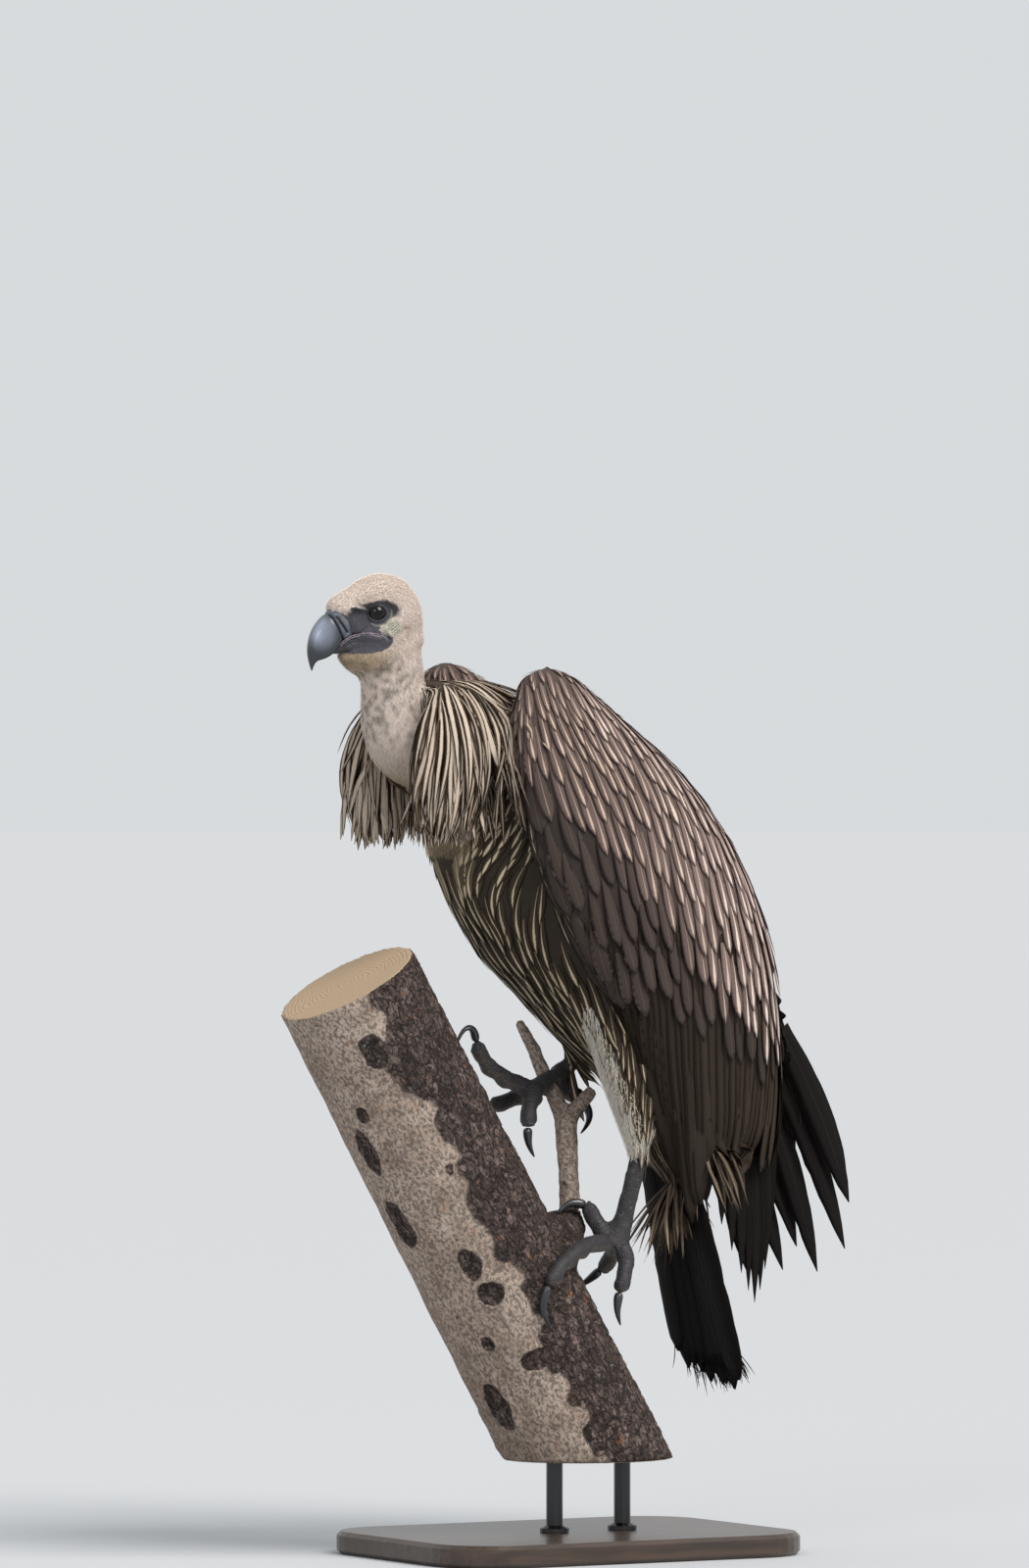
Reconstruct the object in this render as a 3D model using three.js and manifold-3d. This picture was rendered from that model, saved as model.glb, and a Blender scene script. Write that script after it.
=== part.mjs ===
// A life-size still model of a young white-backed vulture, gripping a leaning cut length of tree trunk
// on a plain display stand. Millimetres, +Z up. The bird faces -X, its left side is towards -Y, and the
// origin is the middle of the stand's underside.
import * as THREE from "three";
import { mergeVertices } from "three/addons/utils/BufferGeometryUtils.js";
import Module from "manifold-3d";

const wasm = await Module();
wasm.setup();

// Driving dimensions
const GAP = 0.3; // clearance between neighbouring pieces
const BASE = { long: 400, across: 300, corner: 60, high: 22, edge: 4 };
const ROD = { radius: 8, spread: 76, foot: 14 };
const LOG = { top: [-254, -15, 556], foot: [9, -15, 100], topRadius: 71, footRadius: 76 };
const ROD_TOP = 92; // height of the trunk's level cut, where the rods end
const EYE = { radius: 10, at: [-223, 18, 909.5] };
const ORBIT = { at: [-231, 37, 908], half: [24, 14, 14] };
const EYE_SOCKET = 9.2; // how far the eyeball's front stays from the middle of the head
const BILL_COLOUR = 0x42454f;
const LEFT = -1;
const RIGHT = 1;

// Materials
const finish = (color, roughness) => new THREE.MeshStandardMaterial({ color, roughness, metalness: 0 });
const DOWN = finish(0xcbb9a2, 0.95);
const PLUMAGE = finish(0x5a4a3e, 0.8);
const FLIGHT = finish(0x2f2722, 0.6);
const RUFF = finish(0xa8937a, 0.85);
const HORN = finish(BILL_COLOUR, 0.35);
const TALON = finish(0x15161a, 0.3);
const SCALES = finish(0x3b3a3c, 0.6);
const EYE_GLASS = finish(0x0b0908, 0.05);
const BARK = finish(0x8d7a70, 0.95);
const STAND_WOOD = finish(0x3a2b22, 0.4);
const STEEL = finish(0x2a2a2c, 0.35);

// A three.js geometry as a closed solid, with its faces pointing out.
function solid(geometry) {
  const bare = geometry.clone();
  bare.deleteAttribute("normal");
  bare.deleteAttribute("uv");
  const merged = mergeVertices(bare, 1e-4);
  const vertProperties = merged.getAttribute("position").array;
  const triVerts = new Uint32Array(merged.index.array);
  const made = new wasm.Manifold(new wasm.Mesh({ numProp: 3, vertProperties, triVerts }));
  if (made.volume() > 0) return made;
  triVerts.reverse();
  return new wasm.Manifold(new wasm.Mesh({ numProp: 3, vertProperties, triVerts }));
}

// The largest body of a solid, without the slivers that a cut can leave.
function largest(made) {
  return made.decompose().reduce((a, b) => (a.volume() > b.volume() ? a : b));
}

function meshOf(name, made, material) {
  const { vertProperties, triVerts } = made.getMesh();
  const geometry = new THREE.BufferGeometry();
  geometry.setAttribute("position", new THREE.BufferAttribute(vertProperties, 3));
  geometry.setIndex(new THREE.BufferAttribute(triVerts, 1));
  geometry.computeVertexNormals();
  const mesh = new THREE.Mesh(geometry, material);
  mesh.name = name;
  return mesh;
}

// The half of space on the side of a plane that its normal points to.
function halfSpace(point, normal) {
  const size = 4000;
  const box = new THREE.BoxGeometry(size, size, size).translate(0, 0, size / 2);
  const turn = new THREE.Quaternion().setFromUnitVectors(
    new THREE.Vector3(0, 0, 1),
    new THREE.Vector3(...normal).normalize(),
  );
  box.applyQuaternion(turn).translate(...point);
  return solid(box);
}

// The part of a solid ahead of a plane, set back from it by half a gap.
function ahead(made, point, normal) {
  const n = new THREE.Vector3(...normal).normalize();
  const start = new THREE.Vector3(...point).addScaledVector(n, GAP / 2);
  return made.intersect(halfSpace(start.toArray(), n.toArray()));
}

const mix = (from, to, t) => from.map((value, i) => THREE.MathUtils.lerp(value, to[i], t));
const turned = (vector) => vector.map((value) => -value);

// The values of a table at any place from its first row, 0, to its last, 1, on smooth curves.
function smoothTable(rows) {
  const keys = Object.keys(rows[0]);
  const places = rows.map((_, i) => i / (rows.length - 1));
  const values = rows.flatMap((row) => keys.map((key) => row[key]));
  const curve = new THREE.CubicInterpolant(places, values, keys.length);
  return (t) => {
    const found = curve.evaluate(t);
    return Object.fromEntries(keys.map((key, i) => [key, found[i]]));
  };
}

// Moves the points of a ball so that its poles and rings lie where place(t, angle) says.
function shapeBall(around, along, place) {
  const ball = new THREE.SphereGeometry(1, around, along);
  const points = ball.getAttribute("position");
  for (let i = 0; i < points.count; i++) {
    const t = Math.acos(THREE.MathUtils.clamp(points.getY(i), -1, 1)) / Math.PI;
    const pole = Math.hypot(points.getX(i), points.getZ(i)) < 1e-6;
    const angle = Math.atan2(points.getZ(i), points.getX(i));
    points.setXYZ(i, ...place(t, angle, pole));
  }
  return solid(ball);
}

// A limb swept through elliptical sections. Each row has the section's middle, x, y and z, its half-width
// along the side direction, wide, and its half-depth, deep. Its ends are nearly flat: cap is how far along
// the limb its first and last sections are.
function sweep(rows, { around = 12, along = 8, side = [0, 1, 0], cap = 0.03, grow = 0 } = {}) {
  const table = smoothTable(rows);
  const middle = (t) => {
    const row = table(THREE.MathUtils.clamp(t, 0, 1));
    return new THREE.Vector3(row.x, row.y, row.z);
  };
  const step = 0.01;
  return shapeBall(around, along, (ring, angle, pole) => {
    const first = 1 / along;
    const t = pole ? Math.round(ring) : THREE.MathUtils.mapLinear(ring, first, 1 - first, cap, 1 - cap);
    const tangent = middle(t + step).sub(middle(t - step)).normalize();
    const point = middle(t);
    if (pole) return point.addScaledVector(tangent, t < 0.5 ? -grow : grow).toArray();
    const across = new THREE.Vector3(...side);
    across.addScaledVector(tangent, -across.dot(tangent)).normalize();
    const depth = new THREE.Vector3().crossVectors(tangent, across);
    const { wide, deep } = table(t);
    point.addScaledVector(across, Math.cos(angle) * (wide + grow));
    return point.addScaledVector(depth, Math.sin(angle) * (deep + grow)).toArray();
  });
}

// Stations as rows: each is x, y, z and the two half-sizes of its section.
const stations = (...list) => list.map(([x, y, z, wide, deep = wide]) => ({ x, y, z, wide, deep }));

// The trunk in level sections: where its front and back are, and its half-width.
const TRUNK = [
  { z: 800, front: -92, back: -40, half: 26 },
  { z: 778, front: -142, back: 22, half: 58 },
  { z: 745, front: -162, back: 78, half: 76 },
  { z: 708, front: -160, back: 112, half: 86 },
  { z: 668, front: -149, back: 140, half: 95 },
  { z: 622, front: -127, back: 162, half: 98 },
  { z: 573, front: -92, back: 176, half: 95 },
  { z: 544, front: -60, back: 180, half: 88 },
  { z: 502, front: -18, back: 180, half: 76 },
  { z: 461, front: 34, back: 172, half: 60 },
  { z: 413, front: 66, back: 158, half: 46 },
  { z: 378, front: 86, back: 146, half: 32 },
  { z: 352, front: 104, back: 134, half: 14 },
];

function trunk(grow = 0) {
  const table = smoothTable(TRUNK);
  return shapeBall(20, 12, (t, angle, pole) => {
    const { z, front, back, half } = table(t);
    const middle = (front + back) / 2;
    const level = z + grow * (1 - 2 * t);
    if (pole) return [middle, 0, level];
    const x = middle + ((back - front) / 2 + grow) * Math.cos(angle);
    return [x, (half + grow) * Math.sin(angle), level];
  });
}

// A folded wing in level sections, from wrist to feather tips: where its leading and trailing edges are,
// how far from the bird's middle plane each of them is, its outer half-width, and its thickness. The right
// wing is not held quite like the left: its edges stand further back by lead and trail, and higher by rise.
const WING = [
  { z: 866, front: -94, back: -60, nose: 88, half: 95, seam: 86, thick: 10, lead: -8, trail: -8, rise: 7 },
  { z: 846, front: -110, back: -32, nose: 84, half: 109, seam: 74, thick: 40, lead: -5, trail: -18, rise: 7 },
  { z: 803, front: -120, back: 34, nose: 84, half: 118, seam: 48, thick: 58, lead: 0, trail: -14, rise: 4 },
  { z: 775, front: -120, back: 80, nose: 86, half: 121, seam: 26, thick: 60, lead: 0, trail: 14, rise: 2 },
  { z: 746, front: -116, back: 121, nose: 88, half: 122, seam: 6, thick: 60, lead: 0, trail: 27, rise: 0 },
  { z: 698, front: -107, back: 163, nose: 92, half: 122, seam: 1, thick: 60, lead: 0, trail: 27, rise: 0 },
  { z: 651, front: -87, back: 192, nose: 92, half: 120, seam: 1, thick: 56, lead: 4, trail: 19, rise: 0 },
  { z: 603, front: -60, back: 210, nose: 88, half: 116, seam: 1, thick: 50, lead: 10, trail: 18, rise: 0 },
  { z: 556, front: -22, back: 220, nose: 84, half: 108, seam: 3, thick: 44, lead: 18, trail: 34, rise: 0 },
  { z: 508, front: 18, back: 224, nose: 76, half: 98, seam: 6, thick: 38, lead: 30, trail: 44, rise: 0 },
  { z: 461, front: 46, back: 224, nose: 68, half: 88, seam: 12, thick: 32, lead: 46, trail: 56, rise: 0 },
  { z: 413, front: 68, back: 222, nose: 60, half: 78, seam: 18, thick: 28, lead: 62, trail: 66, rise: 0 },
  { z: 372, front: 98, back: 218, nose: 52, half: 66, seam: 24, thick: 22, lead: 74, trail: 70, rise: 0 },
];

function wingTable(side) {
  if (side === LEFT) return smoothTable(WING);
  const shifted = WING.map((row) => ({
    ...row,
    z: row.z + row.rise,
    front: row.front + row.lead,
    back: row.back + row.trail,
  }));
  return smoothTable(shifted);
}

// Rounds the corners of a section: 1 is an ellipse, less is squarer.
const squared = (value, power) => Math.sign(value) * Math.pow(Math.abs(value), power);

// A point of the wing's outline in one level section: angles up to half a turn are on its outer side,
// from the leading edge to the trailing one, and the rest are on its inner side, back to the front.
function wingOutline({ front, back, nose, half, seam, thick }, angle) {
  const turn = THREE.MathUtils.euclideanModulo(angle, 2 * Math.PI);
  const outside = turn <= Math.PI;
  const share = outside ? turn / Math.PI : 2 - turn / Math.PI;
  const arch = Math.sin(Math.PI * share);
  const out = THREE.MathUtils.lerp(nose, seam, share) + (half - (nose + seam) / 2) * squared(arch, 0.7);
  const inner = outside ? 0 : thick * squared(arch, 0.5);
  const reach = (back - front) / 2 - (outside ? 0 : thick * 0.3);
  const x = (front + back) / 2 - reach * squared(Math.cos(Math.PI * share), 0.8);
  return new THREE.Vector2(x, Math.max(out - inner, -8));
}

function wing(side, grow = 0) {
  const table = wingTable(side);
  const around = 20;
  const step = (2 * Math.PI) / around;
  const made = shapeBall(around, 14, (t, angle, pole) => {
    const row = table(t);
    const middle = (row.front + row.back) / 2;
    if (pole) return [middle, side * (row.half - row.thick / 2), row.z + (t < 0.5 ? grow : -grow)];
    const point = wingOutline(row, angle);
    const along = wingOutline(row, angle + step).sub(wingOutline(row, angle - step)).normalize();
    return [point.x - along.y * grow, side * (point.y + along.x * grow), row.z];
  });
  return made.intersect(halfSpace([0, side * (GAP / 2 - grow), 0], [0, side, 0]));
}

// One long stiff feather as a thin blade from root to tip; point is how wide it still is at its tip.
function vane(root, tip, { width, thick, point, bow = [0, 0, 0], side = [0, 1, 0], grow = 0 }) {
  const shares = [[0, 0.7], [0.3, 0.95], [0.6, 1], [0.85, 0.5 + point], [1, point]];
  const rows = shares.map(([t, w]) => {
    const lift = Math.sin(Math.PI * t);
    const [x, y, z] = mix(root, tip, t).map((value, i) => value + bow[i] * lift);
    return { x, y, z, wide: (width / 2) * Math.min(w, 1), deep: thick / 2 };
  });
  return sweep(rows, { around: 5, along: 4, side, grow });
}

function fan(count, make) {
  const blades = Array.from({ length: count }, (_, i) => make(count > 1 ? i / (count - 1) : 0));
  return blades.reduce((a, b) => a.add(b));
}

// The bare ends of the folded flight feathers, below the wing's covered part: the roots of the first and
// last feather, and the tip of each.
const LEFT_TIPS = {
  roots: [[106, -56, 404], [204, -34, 420]],
  tips: [
    [103, -58, 352],
    [142, -56, 318],
    [165, -52, 271],
    [188, -42, 241],
    [202, -36, 262],
    [212, -32, 296],
  ],
  lean: [1, 0.35, 0],
  bow: [0, 0, 0],
};
const RIGHT_TIPS = {
  roots: [[182, 56, 404], [256, 28, 480]],
  tips: [
    [232, 44, 262],
    [268, 40, 267],
    [281, 36, 290],
    [302, 32, 265],
    [331, 28, 287],
    [334, 26, 333],
  ],
  lean: [1, -0.2, 0],
  bow: [2, 0, 0],
};
const TIP_WIDTH = 42;
const TIP_THICK = 8;

function wingTips({ roots, tips, lean, bow }, grow = 0) {
  return fan(tips.length, (t) => {
    const tip = tips[Math.round(t * (tips.length - 1))];
    const shape = { width: TIP_WIDTH, thick: TIP_THICK, side: lean, bow, point: 0.15, grow };
    return vane(mix(...roots, t), tip, shape);
  });
}

// The tail: blunt feathers in a fan that hangs down, widest at its end and a little lower on the left.
const TAIL = {
  count: 7,
  root: [106, 0, 412],
  rootHalf: 34,
  end: [169, -2, 161],
  endHalf: 55,
  width: 40,
  thick: 8,
  round: 12,
  tilt: 9,
};

function tail(grow = 0) {
  const { count, root, rootHalf, end, endHalf, width, thick, round, tilt } = TAIL;
  return fan(count, (t) => {
    const across = 2 * t - 1;
    const start = [root[0], root[1] + across * rootHalf, root[2]];
    const rise = round * across * across + tilt * across;
    const tip = [end[0] - rise * 0.3, end[1] + across * endHalf, end[2] + rise];
    return vane(start, tip, { width, thick, point: 0.5, grow });
  });
}

// Neck, head and bill
const NECK = stations(
  [-199, 0, 893, 24, 26],
  [-196, 0, 868, 29, 31.5],
  [-195.5, 0, 848, 30, 32],
  [-195, 0, 824, 31, 33],
  [-193, 0, 802, 33, 34],
  [-188, 0, 782, 33, 32],
);
const CROP = stations(
  [-214, 0, 796, 21, 18],
  [-204, 0, 794, 31, 28],
  [-188, 0, 788, 37, 36],
  [-166, 0, 780, 41, 40],
  [-136, 0, 770, 45, 40],
  [-94, 0, 760, 48, 42],
  [-60, 0, 752, 46, 38],
);
const neck = (grow = 0) =>
  sweep(NECK, { around: 14, along: 6, grow }).add(sweep(CROP, { around: 14, along: 7, grow }));

const skull = (grow = 0) =>
  sweep(
    stations(
      [-167, 0, 901, 8, 9],
      [-171, 0, 901, 18, 20],
      [-182, 0, 902, 28, 35],
      [-198, 0, 903.5, 33, 44.5],
      [-216, 0, 905, 33.5, 44.5],
      [-230, 0, 907, 29.5, 39.5],
      [-242, 0, 909, 24, 32],
      [-253, 0, 912, 18, 21],
      [-262, 0, 915, 12, 12.5],
      [-267, 0, 916.5, 7, 7],
    ),
    { around: 13, along: 9, grow },
  );

const throat = (grow = 0) =>
  sweep(
    stations(
      [-256, 0, 872, 6, 3],
      [-246, 0, 870, 13, 10],
      [-234, 0, 868, 21, 19],
      [-214, 0, 868, 28, 27],
      [-190, 0, 872, 30, 30],
      [-165, 0, 876, 24, 24],
    ),
    { around: 12, along: 6, grow },
  );

// The head ends and the neck begins at a sloping cut under the chin.
const HEAD_CUT = [-0.49, 0, 1];
function head(grow = 0) {
  const whole = skull(grow).add(throat(grow)).intersect(halfSpace([-200, 0, 868 - grow], HEAD_CUT));
  return whole.subtract(orbit(LEFT, grow)).subtract(orbit(RIGHT, grow));
}

// The bare hollow in each side of the face, from the bill's root to behind the eye.
function orbit(side, grow = 0) {
  const { at, half } = ORBIT;
  const ball = new THREE.SphereGeometry(1, 8, 6).scale(...half.map((value) => value - grow));
  return solid(ball.translate(at[0], side * at[1], at[2]));
}

// The upper bill's horn, from its edge at the cere down to the hooked tip.
const upperHorn = (grow = 0) =>
  sweep(
    stations(
      [-256, 0, 900, 10, 12],
      [-262, 0, 897.5, 11.8, 13.4],
      [-268, 0, 892, 12, 14.6],
      [-273.5, 0, 884, 11, 14],
      [-278.5, 0, 875, 8.4, 11],
      [-281.5, 0, 866.5, 5.2, 6.4],
      [-282, 0, 859.5, 2.8, 3.4],
      [-281, 0, 853.5, 0.9, 1],
    ),
    { around: 12, along: 8, cap: 0.02, grow },
  );

const cereShape = (grow = 0) =>
  sweep(
    stations(
      [-262.5, 0, 898, 12.2, 13.8],
      [-258, 0, 901, 14, 15.6],
      [-253, 0, 903.5, 15.6, 15.8],
      [-245, 0, 905, 16, 14],
    ),
    { around: 10, along: 3, grow },
  );

const lowerHorn = (grow = 0) =>
  sweep(
    stations(
      [-263, 0, 874.5, 5, 3],
      [-256, 0, 876, 9.6, 5.5],
      [-244, 0, 878.5, 14.5, 7.5],
      [-230, 0, 879.5, 20, 8.5],
      [-216, 0, 879, 25, 7],
    ),
    { around: 10, along: 5, grow },
  );

// Eyeballs: each sits in the side of the head and shows only its front.
function eye(side, grow = 0) {
  const [x, y, z] = EYE.at;
  const ball = new THREE.SphereGeometry(EYE.radius + grow, 10, 7).translate(x, side * y, z);
  return solid(ball).intersect(halfSpace([0, side * (EYE_SOCKET - grow), 0], [0, side, 0]));
}

// The ruff: a drooping collar of long feathers on each side of the neck's base, open at the front.
function ruff(side, grow = 0) {
  const rows = stations(
    [-112, 10, 838, 24, 12],
    [-128, 34, 838, 34, 17],
    [-146, 56, 818, 44, 22],
    [-164, 68, 786, 50, 23],
    [-172, 70, 752, 48, 20],
    [-173, 66, 722, 38, 15],
    [-172, 60, 697, 20, 8],
  ).map((row) => ({ ...row, y: side * row.y }));
  return sweep(rows, { around: 12, along: 10, side: [1, 0, 0], grow });
}

// Legs
const THIGHS = {
  [LEFT]: stations(
    [30, -40, 575, 42, 56],
    [34, -46, 535, 43, 55],
    [40, -50, 495, 38, 46],
    [45, -52, 450, 30, 36],
    [47, -53, 412, 21, 24],
    [46, -53, 386, 12, 13],
  ),
  [RIGHT]: stations(
    [20, 56, 590, 40, 50],
    [30, 64, 560, 40, 50],
    [46, 69, 532, 36, 42],
    [62, 67, 510, 26, 30],
    [73, 62, 490, 13, 14],
  ),
};
const thigh = (side, grow = 0) => sweep(THIGHS[side], { around: 12, along: 7, grow });

// Each shank runs from the ankle down to the ball of the foot.
const SHANKS = {
  [LEFT]: stations(
    [52, -54, 404, 9, 10],
    [47, -52, 378, 8.4, 9.4],
    [40.5, -50, 352, 8.2, 9.2],
    [34, -48, 324, 9, 10],
    [29, -48, 308, 11, 11],
    [22, -48, 298, 13, 9],
  ),
  [RIGHT]: stations(
    [74, 61, 492, 9, 10],
    [46, 52, 480, 8.4, 9.2],
    [24, 43, 470, 8.2, 9],
    [2, 34, 461, 9, 9.4],
    [-12, 29, 454, 11, 10],
    [-22, 26, 450, 13, 9],
  ),
};
const shank = (side, grow = 0) => sweep(SHANKS[side], { around: 9, along: 7, grow });

// Toes 1 to 4 of each foot: the hallux behind, then the inner, middle and outer toe. Each has points from
// the ball of the foot to the toe's end, and then the claw's from its base to its tip.
const FEET = {
  [LEFT]: {
    1: {
      toe: [[32, -38, 300], [42, -20, 297], [47, -2, 286], [42, 12, 272]],
      claw: [[34, 22, 262], [21, 25, 254]],
    },
    2: {
      toe: [[20, -44, 306], [12, -36, 318], [8.5, -31, 332], [1, -28, 340]],
      claw: [[-11.7, -26, 342.5], [-22.3, -25, 336], [-27.5, -23, 324.5]],
    },
    3: {
      toe: [[14, -54, 303], [-12, -64, 303], [-38.5, -80, 296], [-64.5, -92, 281], [-78.5, -96, 264]],
      claw: [[-84, -94.3, 247], [-79.5, -92, 235], [-71, -89.7, 224]],
    },
    4: {
      toe: [[28, -54, 299], [31, -59, 286], [24, -65, 270], [17, -68, 254]],
      claw: [[13.5, -70, 238], [18.9, -68, 223.5]],
    },
  },
  [RIGHT]: {
    1: {
      toe: [[-10, 34, 450], [14, 40, 447.5], [32, 42, 444], [42, 40, 435]],
      claw: [[46.5, 36, 424], [41, 32, 414], [30.4, 28, 405.6]],
    },
    2: {
      toe: [[-24, 20, 450], [-40, 4, 438], [-48, -6, 424], [-51.2, -10, 412]],
      claw: [[-51, -11, 398], [-42.4, -8, 385.3]],
    },
    3: {
      toe: [[-28, 26, 451], [-53, 20, 458], [-77, 12, 469], [-94, 5, 483], [-103, 0, 499]],
      claw: [[-108, -3, 513], [-121, -4, 509.5], [-128, -3, 491]],
    },
    4: {
      toe: [[-22, 34, 450], [-32, 42, 442], [-48, 47, 436], [-62, 48, 434]],
      claw: [[-75, 46, 431], [-84, 40, 421]],
    },
  },
};
const TOE = { base: 9.6, end: 7.6 };
const CLAW = { base: 4.8, end: 0.6 };

// A tapering digit along a list of points; ease is how late along it the taper comes.
function digit(points, { base, end }, ease, options) {
  const rows = points.map(([x, y, z], i) => {
    const wide = THREE.MathUtils.lerp(base, end, Math.pow(i / (points.length - 1), ease));
    return { x, y, z, wide, deep: wide };
  });
  return sweep(rows, { side: [0.3, 1, 0.2], ...options });
}

const toe = (side, number, grow = 0) =>
  digit(FEET[side][number].toe, TOE, 1, { around: 8, along: 6, cap: 0.05, grow });

function claw(side, number, grow = 0) {
  const { toe: bones, claw: hook } = FEET[side][number];
  return digit([bones.at(-1), ...hook], CLAW, 1.4, { around: 6, along: 5, cap: 0.02, grow });
}

// The perch: a leaning cut length of trunk, swollen where a thin forked branch leaves it.
const COLLAR = stations(
  [-70, -18, 268, 60],
  [-48, -17, 290, 48],
  [-22, -14, 306, 32],
  [-4, -8, 322, 19],
  [0, -4, 334, 11],
);
const STEM = stations(
  [-8, -8, 312, 12],
  [0, -3, 336, 11],
  [2, 3, 372, 10.6],
  [4, 10, 404, 11.5],
  [6, 16, 424, 12],
);
const FAR_ARM = stations(
  [6, 14, 418, 10],
  [3, 28, 438, 9],
  [-7, 44, 474, 7.6],
  [-16, 50, 500, 7],
  [-27, 52, 517, 5],
);
const NEAR_ARM = stations([5, 14, 418, 10], [16, 12, 431, 8.4], [26, 9, 442, 7.4], [33, 7, 450, 7]);

function log(grow = 0) {
  const top = new THREE.Vector3(...LOG.top);
  const foot = new THREE.Vector3(...LOG.foot);
  const along = foot.clone().sub(top).normalize();
  const end = foot.addScaledVector(along, LOG.footRadius);
  const long = end.distanceTo(top);
  const radii = [LOG.footRadius + grow, LOG.topRadius + grow];
  const shaft = new THREE.CylinderGeometry(...radii, long + 2 * grow, 20);
  shaft.applyQuaternion(new THREE.Quaternion().setFromUnitVectors(new THREE.Vector3(0, 1, 0), along));
  shaft.translate(...top.lerp(end, 0.5).toArray());
  const collar = sweep(COLLAR, { around: 10, along: 6, grow });
  return solid(shaft).add(collar).intersect(halfSpace([0, 0, ROD_TOP - grow], [0, 0, 1]));
}

function branch(grow = 0) {
  const stem = sweep(STEM, { around: 8, along: 6, grow });
  const farArm = sweep(FAR_ARM, { around: 8, along: 5, side: [1, 0, 0], grow });
  const nearArm = sweep(NEAR_ARM, { around: 7, along: 3, grow });
  return stem.add(farArm).add(nearArm);
}

// The display stand: a flat plinth with two upright rods into the trunk's level cut.
function plinth() {
  const { long, across, corner, high, edge } = BASE;
  const [x, y] = [long / 2 - edge, across / 2 - edge];
  const outline = new THREE.Shape()
    .moveTo(-x + corner, -y)
    .lineTo(x - corner, -y)
    .absarc(x - corner, -y + corner, corner, -Math.PI / 2, 0)
    .lineTo(x, y - corner)
    .absarc(x - corner, y - corner, corner, 0, Math.PI / 2)
    .lineTo(-x + corner, y)
    .absarc(-x + corner, y - corner, corner, Math.PI / 2, Math.PI)
    .lineTo(-x, -y + corner)
    .absarc(-x + corner, -y + corner, corner, Math.PI, 1.5 * Math.PI);
  const bevel = { bevelSize: edge, bevelThickness: edge, bevelSegments: 1 };
  const depth = high - 2 * edge;
  const slab = new THREE.ExtrudeGeometry(outline, { depth, curveSegments: 4, ...bevel });
  return solid(slab.translate(0, 0, edge));
}

function rod(side) {
  const { radius, spread, foot } = ROD;
  const [low, high] = [BASE.high + GAP, ROD_TOP - GAP];
  const profile = [[0, low], [foot, low], [foot, low + 4], [radius, low + 7], [radius, high], [0, high]];
  const turnedRod = new THREE.LatheGeometry(profile.map((p) => new THREE.Vector2(...p)), 12);
  return solid(turnedRod.rotateX(Math.PI / 2).translate(14 + side * (spread / 2), -15, 0));
}

const group = new THREE.Group();
const placed = []; // each shape so far, as a function of how much it grows

function boxesMeet(a, b) {
  const [p, q] = [a.boundingBox(), b.boundingBox()];
  return [0, 1, 2].every((i) => p.min[i] <= q.max[i] && q.min[i] <= p.max[i]);
}

// Cuts a shape back from all that is placed, with a gap, and adds its parts as named meshes.
function place(shape, material, parts) {
  let made = shape(0);
  for (const other of placed) {
    const near = other(GAP);
    if (boxesMeet(made, near)) made = made.subtract(near);
  }
  for (const [name, trim] of Object.entries(parts)) {
    group.add(meshOf(name, largest(trim ? trim(made) : made), material));
  }
  placed.push(shape);
}

// A parting cut: the piece ahead of a plane, and the piece behind it.
const parted = (point, normal, front, back) => ({
  [front]: (made) => ahead(made, point, normal),
  [back]: (made) => ahead(made, point, turned(normal)),
});

place(() => plinth(), STAND_WOOD, { stand_base: null });
place(() => rod(LEFT), STEEL, { stand_rod_front: null });
place(() => rod(RIGHT), STEEL, { stand_rod_back: null });
place(log, BARK, { perch_trunk: null });
place(branch, BARK, { perch_branch: null });
place(trunk, PLUMAGE, parted([60, 0, 590], [-0.35, 0, 1], "breast", "belly"));
place(upperHorn, HORN, { bill_upper: null });
place(cereShape, HORN, { cere: null });
place(lowerHorn, HORN, { bill_lower: null });
for (const [side, name] of [[LEFT, "left"], [RIGHT, "right"]]) {
  place((grow) => eye(side, grow), EYE_GLASS, { [`eye_${name}`]: null });
}
place(head, DOWN, { head: null });
place(neck, DOWN, parted([-194, 0, 808], [0, 0, 1], "neck_upper", "neck_lower"));
for (const [side, name] of [[LEFT, "left"], [RIGHT, "right"]]) {
  place(
    (grow) => wing(side, grow),
    PLUMAGE,
    parted([120, 0, 520], [-0.45, 0, 1], `wing_${name}_arm`, `wing_${name}_secondaries`),
  );
  place((grow) => ruff(side, grow), RUFF, { [`ruff_${name}`]: null });
  place((grow) => thigh(side, grow), PLUMAGE, { [`thigh_${name}`]: null });
}
place((grow) => wingTips(LEFT_TIPS, grow), FLIGHT, { wing_left_primaries: null });
place((grow) => wingTips(RIGHT_TIPS, grow), FLIGHT, { wing_right_primaries: null });
place(tail, FLIGHT, { tail: null });
for (const [side, name] of [[LEFT, "left"], [RIGHT, "right"]]) {
  place((grow) => shank(side, grow), SCALES, { [`shank_${name}`]: null });
  for (const number of [1, 2, 3, 4]) {
    place((grow) => toe(side, number, grow), SCALES, { [`toe_${name}_${number}`]: null });
    place((grow) => claw(side, number, grow), TALON, { [`claw_${name}_${number}`]: null });
  }
}

export default group;
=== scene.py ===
"""A young white-backed vulture on its perch, as feathers, skin, horn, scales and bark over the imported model.

Every length below is in metres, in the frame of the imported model: +Z up, the bird faces -X, its left is -Y.
"""

import itertools
import math

import bmesh
import bpy
import numpy as np
from bpy.props import FloatProperty, FloatVectorProperty, IntProperty, PointerProperty
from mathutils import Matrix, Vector, noise
from mathutils.bvhtree import BVHTree


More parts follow.
